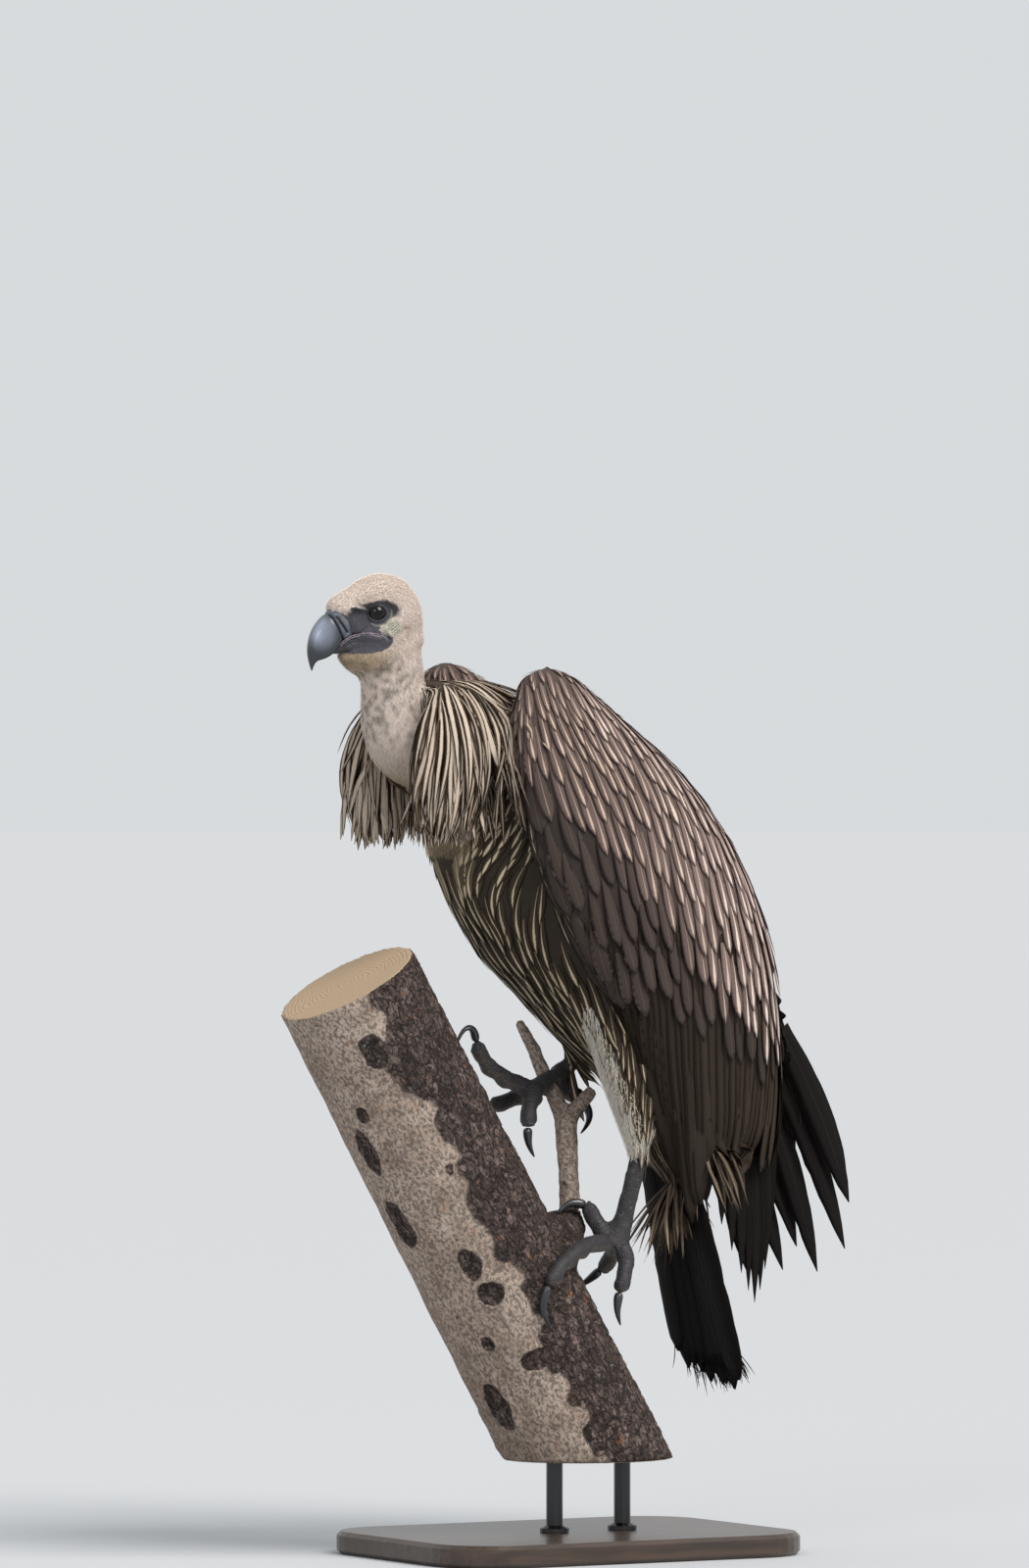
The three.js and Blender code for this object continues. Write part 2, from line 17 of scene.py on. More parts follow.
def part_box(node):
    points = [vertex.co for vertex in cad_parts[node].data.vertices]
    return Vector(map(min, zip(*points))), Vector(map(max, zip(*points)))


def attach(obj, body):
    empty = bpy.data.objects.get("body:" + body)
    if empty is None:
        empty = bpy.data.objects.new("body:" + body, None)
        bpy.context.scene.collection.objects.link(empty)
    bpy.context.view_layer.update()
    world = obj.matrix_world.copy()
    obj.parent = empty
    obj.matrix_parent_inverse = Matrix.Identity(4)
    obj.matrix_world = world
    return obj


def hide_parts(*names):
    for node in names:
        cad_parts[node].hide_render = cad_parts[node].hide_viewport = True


bl_info = {
    "name": "Perched vulture",
    "version": (1, 0, 0),
    "blender": (4, 5, 0),
    "location": "View3D > Sidebar > Vulture",
    "description": "Dresses a vulture on its perch with skin, down, feathers, horn, scales and bark",
    "category": "Object",
}

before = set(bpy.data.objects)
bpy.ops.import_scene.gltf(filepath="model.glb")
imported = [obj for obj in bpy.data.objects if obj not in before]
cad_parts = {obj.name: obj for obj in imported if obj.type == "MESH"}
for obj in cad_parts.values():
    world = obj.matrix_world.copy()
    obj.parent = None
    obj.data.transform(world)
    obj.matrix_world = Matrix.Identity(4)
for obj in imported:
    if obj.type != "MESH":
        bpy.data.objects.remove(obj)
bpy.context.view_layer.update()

MM = 0.001
SIDES = {"left": -1, "right": 1}
TOES = (1, 2, 3, 4)
WING = {side: [f"wing_{side}_arm", f"wing_{side}_secondaries"] for side in SIDES}
WINGS = WING["left"] + WING["right"]
FEET = [f"shank_{side}" for side in SIDES] + [f"toe_{side}_{n}" for side in SIDES for n in TOES]
RUFFS = ["ruff_left", "ruff_right"]
THIGHS = ["thigh_left", "thigh_right"]
FLESH = ["head", "neck_upper", "neck_lower", "breast", "belly", *RUFFS, *THIGHS, *WINGS, *FEET]

# How deep the skin lies under the outline of the plumage.
COAT = {
    "head": 0.9,
    "neck": 2.2,
    "ruff": 9.0,
    "breast": 6.0,
    "belly": 7.0,
    "wing": 5.5,
    "thigh": 7.0,
    "shank": 0.0,
    "toe": 0.0,
}

rng = np.random.default_rng(20)


# ---- small helpers


def unit(v):
    """Vectors in rows, each made one long."""
    return v / np.maximum(lengths(v)[..., None], 1e-12)


def lengths(v):
    """How long each of many vectors is."""
    return np.linalg.norm(v, axis=-1)


def smoothstep(low, high, x):
    t = np.clip((x - low) / (high - low), 0.0, 1.0)
    return t * t * (3 - 2 * t)


def bump_at(x, centre, reach):
    """A soft bump, 1 at its centre and 0.37 at its reach."""
    return np.exp(-(((x - centre) / reach) ** 2))


def blend(a, b, share):
    """Colours or vectors in rows, a where share is 0 and b where it is 1."""
    share = np.asarray(share)[..., None]
    return np.asarray(a) * (1 - share) + np.asarray(b) * share


def each(colour, points):
    """The same colour once for each point."""
    return np.tile(np.array(colour, float), (len(points), 1))


def line_distance(points, path):
    """How far points in a plane are from a path of straight stretches."""
    best = np.full(len(points), 1e9)
    for a, b in zip(path[:-1], path[1:]):
        a, b = np.array(a, float), np.array(b, float)
        t = np.clip(((points - a) @ (b - a)) / ((b - a) @ (b - a)), 0, 1)
        best = np.minimum(best, lengths(points - a - t[:, None] * (b - a)))
    return best


def wobble(points, size, seed=0.0):
    """Smooth noise, from about -1 to 1, with features of that size."""
    shift = Vector((seed * 17.3, seed * -5.1, seed * 9.7))
    return np.array([noise.noise(Vector(p) / size + shift) for p in points])


def pulled(items, key, width, kind=np.float32):
    """A property of many items of a mesh, as an array with a row for each."""
    values = np.empty(len(items) * width, kind)
    items.foreach_get(key, values)
    return values.reshape(-1, width)


def coordinates(mesh):
    return pulled(mesh.vertices, "co", 3).astype(float)


def set_coordinates(mesh, points):
    mesh.vertices.foreach_set("co", np.ascontiguousarray(points, np.float32).ravel())
    mesh.update()


def vertex_normals(mesh):
    return pulled(mesh.vertex_normals, "vector", 3).astype(float)


def link(name, mesh, material):
    """A finished piece in the scene, riding on the still model's one body."""
    piece = bpy.data.objects.new(name, mesh)
    bpy.context.scene.collection.objects.link(piece)
    mesh.name = name
    mesh.materials.clear()
    mesh.materials.append(material)
    mesh.polygons.foreach_set("use_smooth", [True] * len(mesh.polygons))
    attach(piece, "root")
    return piece


def mesh_of(bm, name):
    mesh = bpy.data.meshes.new(name)
    bm.to_mesh(mesh)
    bm.free()
    return mesh


def cad_copy(*nodes):
    """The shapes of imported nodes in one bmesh, with their doubled corners merged."""
    bm = bmesh.new()
    for node in nodes:
        bm.from_mesh(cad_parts[node].data)
    bmesh.ops.remove_doubles(bm, verts=bm.verts, dist=1e-6)
    bmesh.ops.recalc_face_normals(bm, faces=bm.faces)
    return bm


def evaluated(mesh, kind, **settings):
    """The mesh after one modifier of a kind."""
    holder = bpy.data.objects.new("holder", mesh)
    bpy.context.scene.collection.objects.link(holder)
    modifier = holder.modifiers.new(kind, kind)
    for key, value in settings.items():
        setattr(modifier, key, value)
    graph = bpy.context.evaluated_depsgraph_get()
    graph.update()
    made = bpy.data.meshes.new_from_object(holder.evaluated_get(graph))
    bpy.data.objects.remove(holder)
    return made


def remeshed(bm, name, voxel):
    """The shape as one closed skin of even small faces."""
    return evaluated(mesh_of(bm, name), "REMESH", mode="VOXEL", voxel_size=voxel, use_smooth_shade=True)


def edges_of(mesh):
    return pulled(mesh.edges, "vertices", 2, np.int32)


def spread(values, pairs, rounds, share=0.5):
    """Smooths values over the mesh's edges; share may be one number for each vertex."""
    values = np.array(values, float)
    flat = values.ndim == 1
    if flat:
        values = values[:, None]
    count = np.bincount(pairs.ravel(), minlength=len(values)).clip(1)[:, None]
    share = np.broadcast_to(np.asarray(share, float).reshape(-1, 1), (len(values), 1))
    for _ in range(rounds):
        total = np.empty_like(values)
        for axis in range(values.shape[1]):
            column = values[:, axis]
            total[:, axis] = np.bincount(pairs[:, 0], column[pairs[:, 1]], len(values))
            total[:, axis] += np.bincount(pairs[:, 1], column[pairs[:, 0]], len(values))
        values = values + share * (total / count - values)
    return values[:, 0] if flat else values


def evened(values, pairs, rounds, share=0.5):
    """Smooths like spread, but without shrinking."""
    for _ in range(rounds):
        values = spread(values, pairs, 1, share)
        values = spread(values, pairs, 1, -1.04 * np.asarray(share))
    return values


def laid(ways, normals):
    """Ways turned to lie along a surface."""
    return unit(ways - normals * (ways * normals).sum(axis=1, keepdims=True))


class Shape:
    """A surface that pieces are laid on: its nearest points, and the CAD node that each place belongs to."""

    def __init__(self, points, faces):
        self.tree = BVHTree.FromPolygons([tuple(p) for p in points], faces)

    def nearest(self, points):
        found = [self.tree.find_nearest(p) for p in points]
        place = np.array([f[0] for f in found], float)
        normal = np.array([f[1] for f in found], float)
        return place, normal, np.array([f[2] for f in found])


def shape_of_nodes(nodes):
    """One surface of several nodes, and the name of the node that each of its faces is from."""
    points, faces, owners = [], [], []
    for node in nodes:
        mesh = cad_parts[node].data
        start = len(points)
        points.extend(tuple(v.co) for v in mesh.vertices)
        faces.extend([start + i for i in p.vertices] for p in mesh.polygons)
        owners.extend([node] * len(mesh.polygons))
    return Shape(points, faces), np.array(owners)


def lowest(node):
    return np.array(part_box(node)[0], float)


def highest(node):
    return np.array(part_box(node)[1], float)


def paint(mesh, name, values):
    """Stores one number, or one colour, for each vertex."""
    values = np.asarray(values, np.float32)
    if values.ndim == 1:
        mesh.attributes.new(name, "FLOAT", "POINT").data.foreach_set("value", values)
        return
    colour = np.ones((len(values), 4), np.float32)
    colour[:, :3] = values
    mesh.attributes.new(name, "FLOAT_COLOR", "POINT").data.foreach_set("color", colour.ravel())


# ---- places worked out from the frame

EYE_RADIUS = 0.010
HEAD_LOW = lowest("head")


def eye_centre(side):
    """The middle of an eyeball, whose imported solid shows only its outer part."""
    low, high = lowest(f"eye_{side}"), highest(f"eye_{side}")
    middle = (low + high) / 2
    outer = high[1] if SIDES[side] > 0 else low[1]
    return np.array([middle[0], outer - SIDES[side] * EYE_RADIUS, middle[2]])


EYES = {side: eye_centre(side) for side in SIDES}
GAZE = {side: unit(np.array([-0.34, SIDES[side] * 0.94, 0.02])) for side in SIDES}


def face(*places):
    """A path in the face's side view, from places behind and above the eye's middle in millimetres."""
    eye = EYES["left"]
    return [(eye[0] + x * MM, eye[2] + z * MM) for x, z in places]


# The edge of the bare dark skin, from the cere over the eye, round its back and along the lower bill.
BARE_EDGE = face(
    (-29, 5.5), (-21, 6.5), (-12, 9.0), (-3, 12.0), (6, 13.4), (12, 11), (18, 7.5), (19.5, 2.5),
    (15.5, -2.5), (10.5, -5), (7, -9.5), (1, -12), (0, -16.5), (5, -19.5), (12, -23), (13, -28),
    (9, -33), (2.5, -36.5), (-10, -39), (-24, -39), (-36, -38), (-40, -22), (-29, 5.5),
)
BROW = face((-31, 3.5), (-16, 7.0), (-5, 11.0), (4, 11.6), (11, 8))
# Along this path above and in front of the eye the bare skin is painted black: partly its own darker colour,
# partly painted shadow of the brow.
EYE_SHADE = face((-25, 2), (-14, 3), (-8, 7), (1, 11), (12, 8), (15, 2))
MOUTH = face((-28, -21.0), (-17, -20.0), (-5, -20.5), (4, -22.5), (9, -25))
(CHEEK_FOLDS,) = face((11.5, -14.5))
(EAR,) = face((26, -15))


def side_view(points):
    return points[:, [0, 2]]


def within(flat, outline):
    """Whether points in a plane are inside a closed outline."""
    inside = np.zeros(len(flat), bool)
    for (x1, z1), (x2, z2) in zip(outline[:-1], outline[1:]):
        spans = (z1 > flat[:, 1]) != (z2 > flat[:, 1])
        slope = (x2 - x1) / (z2 - z1 if z2 != z1 else 1e-9)
        inside ^= spans & (flat[:, 0] < x1 + (flat[:, 1] - z1) * slope)
    return inside


def bare_face(points):
    """1 on the bare dark skin round the eye, from the cere to behind the eye and along the jaw, else 0."""
    flat = side_view(points)
    away = line_distance(flat, BARE_EDGE)
    depth = np.where(within(flat, BARE_EDGE), away, -away)
    near = np.abs(depth) < 4 * MM
    depth[near] += wobble(points[near], 2.4 * MM, 12.0) * 0.9 * MM
    return smoothstep(-1.0 * MM, 1.0 * MM, depth)


def pale_folds(points):
    """1 on the pale wrinkled skin below and behind the eye."""
    flat = (side_view(points) - np.array(CHEEK_FOLDS)) / np.array([12.5 * MM, 10.5 * MM])
    return 1 - smoothstep(0.55, 1.1, lengths(flat))


def lower_lid(points):
    """1 on the thin pale crease under each eye."""
    creases = np.zeros(len(points))
    for centre in EYES.values():
        away = points - centre
        far = lengths(away[:, [0, 2]])
        below = smoothstep(0.0, -5 * MM, away[:, 2] - 0.45 * away[:, 0])
        below *= smoothstep(-8.5 * MM, -6.0 * MM, away[:, 0])
        creases = np.maximum(creases, below * bump_at(far, 12.2 * MM, 0.75 * MM))
    return creases


# Colours, as linear light.
CREAM = (0.72, 0.61, 0.54)
CROWN = (0.71, 0.60, 0.52)
NAPE = (0.76, 0.64, 0.575)
CHIN = (0.40, 0.29, 0.17)
NECK_SHADE = (0.085, 0.075, 0.045)
FACE_DARK = (0.062, 0.060, 0.074)
# Partly the bare skin's darker colour near the eye, partly painted shadow of the brow.
FACE_BLACK = (0.012, 0.011, 0.013)
FACE_PALE = (0.46, 0.425, 0.33)
BRISTLE_DARK = (0.030, 0.028, 0.036)
BRISTLE_PALE = (0.20, 0.17, 0.15)
CROP_DOWN = (0.36, 0.28, 0.175)
BODY_BROWN = (0.046, 0.034, 0.023)
WING_BROWN = (0.142, 0.100, 0.088)
WING_SLATE = (0.030, 0.0235, 0.0195)
FLIGHT_BROWN = (0.026, 0.0195, 0.0145)
FLIGHT_BLACK = (0.0085, 0.0072, 0.0068)
VENT_PALE = (0.30, 0.22, 0.155)
RUFF_BROWN = (0.120, 0.082, 0.056)
WOOL = (0.80, 0.74, 0.65)
FOOT_GREY = (0.034, 0.032, 0.034)
FOOT_PAD = (0.15, 0.125, 0.10)


def head_colour(points):
    """The colour of the down on the head and neck, which the skin under it shares."""
    height = points[:, 2]
    behind = smoothstep(EYES["left"][0] + 0.012, EYES["left"][0] + 0.045, points[:, 0])
    colour = blend(each(CROWN, points), CREAM, smoothstep(0.935, 0.915, height))
    colour = blend(colour, NAPE, behind * 0.8)
    under = smoothstep(0.893, 0.872, height) * smoothstep(0.845, 0.862, height)
    front = smoothstep(EYES["left"][0] + 0.030, EYES["left"][0] - 0.012, points[:, 0])
    colour = blend(colour, CHIN, 0.85 * under * front)
    neck = smoothstep(0.875, 0.855, height)
    fleck = smoothstep(-0.05, 0.35, wobble(points, 0.0055, 1.0) + 0.55 * wobble(points, 0.0022, 2.0))
    low_front = smoothstep(EYES["left"][0] + 0.062, EYES["left"][0] + 0.020, points[:, 0])
    patch = neck * low_front * fleck * smoothstep(0.765, 0.800, height)
    colour = blend(colour, NECK_SHADE, 0.66 * patch)
    ear = bump_at(lengths(side_view(points) - np.array(EAR)), 0, 3.2 * MM)
    return blend(colour, CHIN, 0.7 * ear)


def wing_edges(side):
    """A function of height that gives where a wing's leading and trailing edges are."""
    points = np.vstack([coordinates(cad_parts[node].data) for node in WING[side]])
    levels = np.linspace(points[:, 2].min(), points[:, 2].max(), 14)
    reach = 0.75 * (levels[1] - levels[0])
    slices = [points[np.abs(points[:, 2] - level) < reach][:, 0] for level in levels]
    fore = np.array([s.min() for s in slices])
    aft = np.array([s.max() for s in slices])
    return lambda z: (np.interp(z, levels, fore), np.interp(z, levels, aft))


EDGES = {side: wing_edges(side) for side in SIDES}


def chord(points):
    """How far back across its wing each point is, from 0 at the leading edge to 1 at the trailing one."""
    left = points[:, 1] < 0
    shares = np.zeros(len(points))
    for side in SIDES:
        mine = left if side == "left" else ~left
        fore, aft = EDGES[side](points[mine, 2])
        shares[mine] = (points[mine, 0] - fore) / np.maximum(aft - fore, 1e-4)
    return shares


def wing_streaks(points):
    """How strongly the coverts are streaked: all over the shoulder, then only towards the back."""
    height = points[:, 2]
    levels = [0.50, 0.56, 0.62, 0.68, 0.74, 0.80, 0.84]
    limit = np.interp(height, levels, [1.2, 0.66, 0.52, 0.42, 0.24, 0.02, -0.2])
    return smoothstep(limit - 0.10, limit + 0.10, chord(points))


def wing_colour(points):
    share = chord(points)
    streaked = wing_streaks(points)
    colour = blend(each(WING_SLATE, points), WING_BROWN, np.clip(streaked + 0.25, 0, 1))
    low = smoothstep(0.62, 0.50, points[:, 2])
    colour = blend(colour, FLIGHT_BROWN, 0.8 * low)
    back = smoothstep(0.35, 0.95, share) * smoothstep(0.50, 0.62, points[:, 2])
    return colour * (0.9 + 0.75 * back)[:, None]


def crop_share(points):
    """1 on the downy crop below the neck, else 0."""
    crop = smoothstep(0.055, 0.03, np.abs(points[:, 1])) * smoothstep(0.672, 0.695, points[:, 2])
    return crop * smoothstep(-0.055, -0.085, points[:, 0])


def body_colour(points):
    colour = blend(each(BODY_BROWN, points), CROP_DOWN, crop_share(points))
    vent = smoothstep(0.50, 0.42, points[:, 2]) * smoothstep(0.04, 0.09, points[:, 0])
    return blend(colour, FLIGHT_BROWN, 0.6 * vent)


def wool_share(points, side):
    """1 on the white wool down the front and inner side of a thigh, else 0."""
    height = points[:, 2]
    middle = (lowest(f"thigh_{side}") + highest(f"thigh_{side}")) / 2
    front = np.interp(height, [0.39, 0.42, 0.46, 0.50, 0.54], [0.056, 0.042, 0.023, 0.004, -0.012])
    ahead = smoothstep(front + 0.006, front - 0.008, points[:, 0])
    inner = smoothstep(0.004, -0.006, SIDES[side] * (points[:, 1] - middle[1]))
    cuff = smoothstep(0.425, 0.400, height)
    return np.clip(np.maximum(np.maximum(ahead, inner), cuff), 0, 1)


# ---- the skin


def keep_largest(bm):
    """Drops every part of a shape that isn't joined to its largest one."""
    parts, seen = [], set()
    for start in bm.verts:
        if start in seen:
            continue
        seen.add(start)
        part = [start]
        for vert in part:
            near = [edge.other_vert(vert) for edge in vert.link_edges]
            fresh = [v for v in near if v not in seen]
            seen.update(fresh)
            part.extend(fresh)
        parts.append(part)
    parts.sort(key=len)
    bmesh.ops.delete(bm, geom=[v for part in parts[:-1] for v in part], context="VERTS")


def grow_skin_mesh(voxel, head_cuts, foot_cuts):
    """One closed skin round all the nodes of flesh, finer on the head and feet."""
    bm = cad_copy(*FLESH)
    for vert in bm.verts:
        vert.co += vert.normal * 0.4 * MM
    mesh = remeshed(bm, "flesh", voxel)
    bm = bmesh.new()
    bm.from_mesh(mesh)
    keep_largest(bm)
    mesh = mesh_of(bm, "flesh")
    cad, owners = shape_of_nodes(FLESH)
    points = coordinates(mesh)
    on = owners[cad.nearest(points)[2]]
    is_foot = np.isin(on, FEET)
    pairs = edges_of(mesh)
    softness = np.where(is_foot, 0.25, np.where(on == "head", 0.35, 0.6))
    points = evened(points, pairs, 22, softness)
    points = spread(points, pairs, 2, softness)
    feet, _ = shape_of_nodes(FEET)
    place, normal, _ = feet.nearest(points[is_foot])
    points[is_foot] = place + normal * 0.4 * MM
    points = spread(points, pairs, 3, np.where(is_foot, 0.3, 0.0))
    set_coordinates(mesh, points)

    bm = bmesh.new()
    bm.from_mesh(mesh)
    for chosen, cuts in ((on == "head", head_cuts), (is_foot, foot_cuts)):
        bm.verts.ensure_lookup_table()
        inside = [e for e in bm.edges if all(v.index < len(chosen) and chosen[v.index] for v in e.verts)]
        bmesh.ops.subdivide_edges(bm, edges=inside, cuts=cuts, use_grid_fill=True, smooth=0.0)
        bm.verts.index_update()
    close = [
        e
        for e in bm.edges
        if all(abs(v.co.y) > 0.009 and v.co.x < EAR[0] and v.co.z > HEAD_LOW[2] + 0.012 for v in e.verts)
        and e.calc_length() < voxel * 0.5
    ]
    bmesh.ops.subdivide_edges(bm, edges=close, cuts=1, use_grid_fill=True)
    bmesh.ops.triangulate(bm, faces=[f for f in bm.faces if len(f.verts) > 4])
    return mesh_of(bm, "skin"), cad, owners


def thickness(mesh, points, pairs, rounds, most=0.05):
    """How thick the shape is behind each point, or behind any point a few edges away."""
    set_coordinates(mesh, points)
    normals = vertex_normals(mesh)
    tree = BVHTree.FromPolygons([tuple(p) for p in points], [tuple(f.vertices) for f in mesh.polygons])
    found = [tree.ray_cast(p, n, most)[3] for p, n in zip(points - normals * 0.2 * MM, -normals)]
    thick = np.array([most if far is None else far for far in found])
    for _ in range(rounds):
        least = thick.copy()
        np.minimum.at(least, pairs[:, 0], thick[pairs[:, 1]])
        np.minimum.at(least, pairs[:, 1], thick[pairs[:, 0]])
        thick = least
    return thick


def sink_skin(mesh, cad, owners):
    """Draws the skin in by the depth of the coat over it, and returns each point's node."""
    points = coordinates(mesh)
    pairs = edges_of(mesh)
    points = evened(points, pairs, 10, 0.5)
    on = owners[cad.nearest(points)[2]]
    thin = smoothstep(0.012, 0.006, thickness(mesh, points, pairs, 3)) * np.isin(on, WINGS)
    thin = spread(thin, pairs, 4)
    points = spread(points, pairs, 20, 0.7 * thin)
    points[:, 0] -= 7 * MM * thin
    depth = np.array([COAT[node.split("_")[0]] for node in on]) * MM
    depth = spread(depth, pairs, 12, 0.5)
    depth = np.minimum(depth, 0.42 * thickness(mesh, points, pairs, 1))
    points -= vertex_normals(mesh) * depth[:, None]
    set_coordinates(mesh, points)
    return on


def shape_face(mesh, on):
    """Models the brow, the lids' hollows, the crease under each eye, the corner of the mouth and the hollow of
    the ear.
    """
    points = coordinates(mesh)
    normals = vertex_normals(mesh)
    flat = side_view(points)
    lateral = np.abs(points[:, 1])
    sides = smoothstep(0.006, 0.014, lateral) * (on == "head")
    push = 3.2 * bump_at(line_distance(flat, BROW), 0, 3.2 * MM)
    push -= 1.6 * bump_at(line_distance(flat, MOUTH), 0, 1.3 * MM)
    push += 1.0 * lower_lid(points)
    push -= 1.5 * bump_at(lengths(flat - np.array(EAR)), 0, 2.2 * MM)
    points = points + normals * (push * MM * sides)[:, None]
    for side, centre in EYES.items():
        points = fit_lids(points, centre, GAZE[side])
    set_coordinates(mesh, points)


def lid_opening(around):
    """How far from the gaze the lids part, as an angle, on the way round from the front corner."""
    corner = bump_at(np.cos(around), 1, 0.3)
    return np.radians(50 + 5.0 * np.cos(2 * around) - 3.0 * np.sin(around) + 3.0 * corner)


def lid_frame(gaze):
    forward = unit(np.cross(gaze, [0, 0, 1.0]))
    forward *= -np.sign(forward[0])
    return forward, unit(np.cross(gaze, forward)) * np.sign(np.cross(gaze, forward)[2])


def fit_lids(points, centre, gaze):
    """Lays the skin round an eye over the eyeball, up to the edges of its lids."""
    forward, up = lid_frame(gaze)
    away = points - centre
    reach = lengths(away)
    ray = unit(away)
    angle = np.arccos(np.clip(ray @ gaze, -1, 1))
    around = np.arctan2(ray @ up, ray @ forward)
    opening = lid_opening(around)
    near = (reach < 0.026) & (angle < math.radians(100))
    inside = EYE_RADIUS - 2.2 * MM
    lid = EYE_RADIUS + 0.9 * MM
    over = smoothstep(opening - 0.06, opening + 0.03, angle)
    wanted = inside + (lid - inside) * over
    fade = smoothstep(opening + 0.62, opening + 0.22, angle)
    new = reach + fade * (wanted - reach)
    return np.where(near[:, None], centre + ray * new[:, None], points)


PAD_GAP = 0.024  # between the pads under a toe


def shape_feet(mesh, on):
    """Swells the pads under the toes' joints and hollows the skin between them."""
    points = coordinates(mesh)
    normals = vertex_normals(mesh)
    along = np.zeros(len(points))
    for node in FEET:
        mine = on == node
        if not mine.any() or node.startswith("shank"):
            continue
        claw = coordinates(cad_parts[node.replace("toe", "claw")].data)
        toe = coordinates(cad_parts[node].data)
        gap = lengths(claw[:, None] - toe[None]).min(axis=1)
        base = claw[gap < 2.5 * MM].mean(axis=0)
        along[mine] = lengths(points[mine] - base)
    is_toe = along > 0
    under = smoothstep(0.3, -0.5, normals[:, 2])
    pads = under * (0.4 + 1.1 * np.cos(2 * math.pi * along / PAD_GAP + 2.6))
    pads -= 0.5 * smoothstep(0.014, 0.003, along)
    points += normals * (pads * MM * is_toe * smoothstep(0.09, 0.06, along))[:, None]
    points += normals * (wobble(points, 0.004, 6.0) * 0.25 * MM * np.isin(on, FEET))[:, None]
    set_coordinates(mesh, points)
    return along


def skin_colour(points, normals, on):
    """The skin shares the markings of the coat that grows on it; under the ruff it is painted dark, as shadow
    between the feathers.
    """
    colour = each(BODY_BROWN, points)
    head = (on == "head") | (on == "neck_upper") | (on == "neck_lower")
    colour[head] = head_colour(points[head]) * 0.8
    wings = np.isin(on, WINGS)
    colour[wings] = wing_colour(points[wings]) * 0.55
    body = (on == "breast") | (on == "belly")
    colour[body] = body_colour(points[body]) * 0.7
    for side in SIDES:
        thigh = on == f"thigh_{side}"
        white = wool_share(points[thigh], side)
        colour[thigh] = blend(each(BODY_BROWN, white), WOOL, white)
    # Painted shadow: the skin under the ruff is darkened so that it shows as dark gaps between its feathers.
    colour[np.isin(on, RUFFS)] = np.array(RUFF_BROWN) * 0.4
    feet = np.isin(on, FEET)
    colour[feet] = FOOT_GREY
    colour[feet] = blend(colour[feet], FOOT_PAD, 0.55 * smoothstep(0.0, -0.8, normals[feet, 2]))
    on_face = head & (np.abs(points[:, 1]) > 0.005)
    colour = np.where(on_face[:, None], blend(colour, FACE_PALE, pale_folds(points)), colour)
    # Painted shadow of the brow, on skin that is darker near the eye too: the bare face turns black along
    # EYE_SHADE.
    shaded = bump_at(line_distance(side_view(points), EYE_SHADE), 0, 4.5 * MM)
    dark = blend(each(FACE_DARK, points), FACE_BLACK, 0.85 * shaded)
    colour = np.where(on_face[:, None], blend(colour, dark, bare_face(points)), colour)
    return np.where(on_face[:, None], blend(colour, FACE_PALE, 0.45 * lower_lid(points)), colour)


# ---- feathers as joined strips of vane

# A vane's cross-section, as (across, lift) points round it: a flat lens, thickest along the shaft.
SPIKE = np.array([(-1.0, 0.0), (0.0, 1.0), (1.0, 0.0)])
BLADE = np.array([(-1.0, 0.0), (0.0, 1.0), (1.0, 0.0), (0.0, -0.5)])
VANE = np.array(
    [(-1.0, 0.0), (-0.5, 0.55), (0.0, 1.0), (0.5, 0.55), (1.0, 0.0), (0.5, -0.25), (0.0, -0.4), (-0.5, -0.25)]
)


class Skin:
    """The finished skin: nearest points, unwrapped places and sampled roots."""

    def __init__(self, mesh, on):
        self.points = coordinates(mesh)
        self.on = on
        mesh.calc_loop_triangles()
        self.tri = pulled(mesh.loop_triangles, "vertices", 3, np.int32)
        loops = pulled(mesh.loop_triangles, "loops", 3, np.int32)
        self.tri_uv = pulled(mesh.uv_layers["OFBake"].data, "uv", 2)[loops]
        self.normals = vertex_normals(mesh)
        self.shape = Shape(self.points, self.tri.tolist())

    def nearest(self, points):
        """The nearest places on the skin, its smooth normals there, and its triangles."""
        place, _, face_at = self.shape.nearest(points)
        weight = 1 / np.maximum(lengths(self.points[self.tri[face_at]] - place[:, None]), 1e-7)
        weight /= weight.sum(axis=1, keepdims=True)
        normal = unit((self.normals[self.tri[face_at]] * weight[..., None]).sum(axis=1))
        return place, normal, face_at

    def unwrapped(self, face_at):
        return self.tri_uv[face_at].mean(axis=1)

    def roots(self, wanted, spacing, seed, crowd=5.0, rows=None):
        """Evenly scattered places on the skin where wanted is true; spacing is a number or a function.

        rows, a way and a share, sets the places closer to each other across that way than along it.
        """
        pick = np.random.default_rng(seed)
        corners = self.points[self.tri]
        centre = corners.mean(axis=1)
        keep = wanted(centre, self.on[self.tri[:, 0]])
        corners, centre = corners[keep], centre[keep]
        sides = corners[:, 1:] - corners[:, :1]
        area = lengths(np.cross(sides[:, 0], sides[:, 1])) / 2
        gap_at = spacing if callable(spacing) else lambda p: np.full(len(p), spacing)
        density = area / gap_at(centre) ** 2
        count = int(crowd * density.sum())
        chosen = pick.choice(len(area), count, p=density / density.sum())
        a, b = pick.random((2, count))
        flip = a + b > 1
        a[flip], b[flip] = 1 - a[flip], 1 - b[flip]
        c = corners[chosen]
        points = c[:, 0] + a[:, None] * (c[:, 1] - c[:, 0]) + b[:, None] * (c[:, 2] - c[:, 0])
        squeezed = points
        if rows is not None:
            way, share = unit(np.array(rows[0], float)), rows[1]
            squeezed = points - (1 - share) * (points @ way)[:, None] * way
        return points[thinned(squeezed, gap_at(points))]


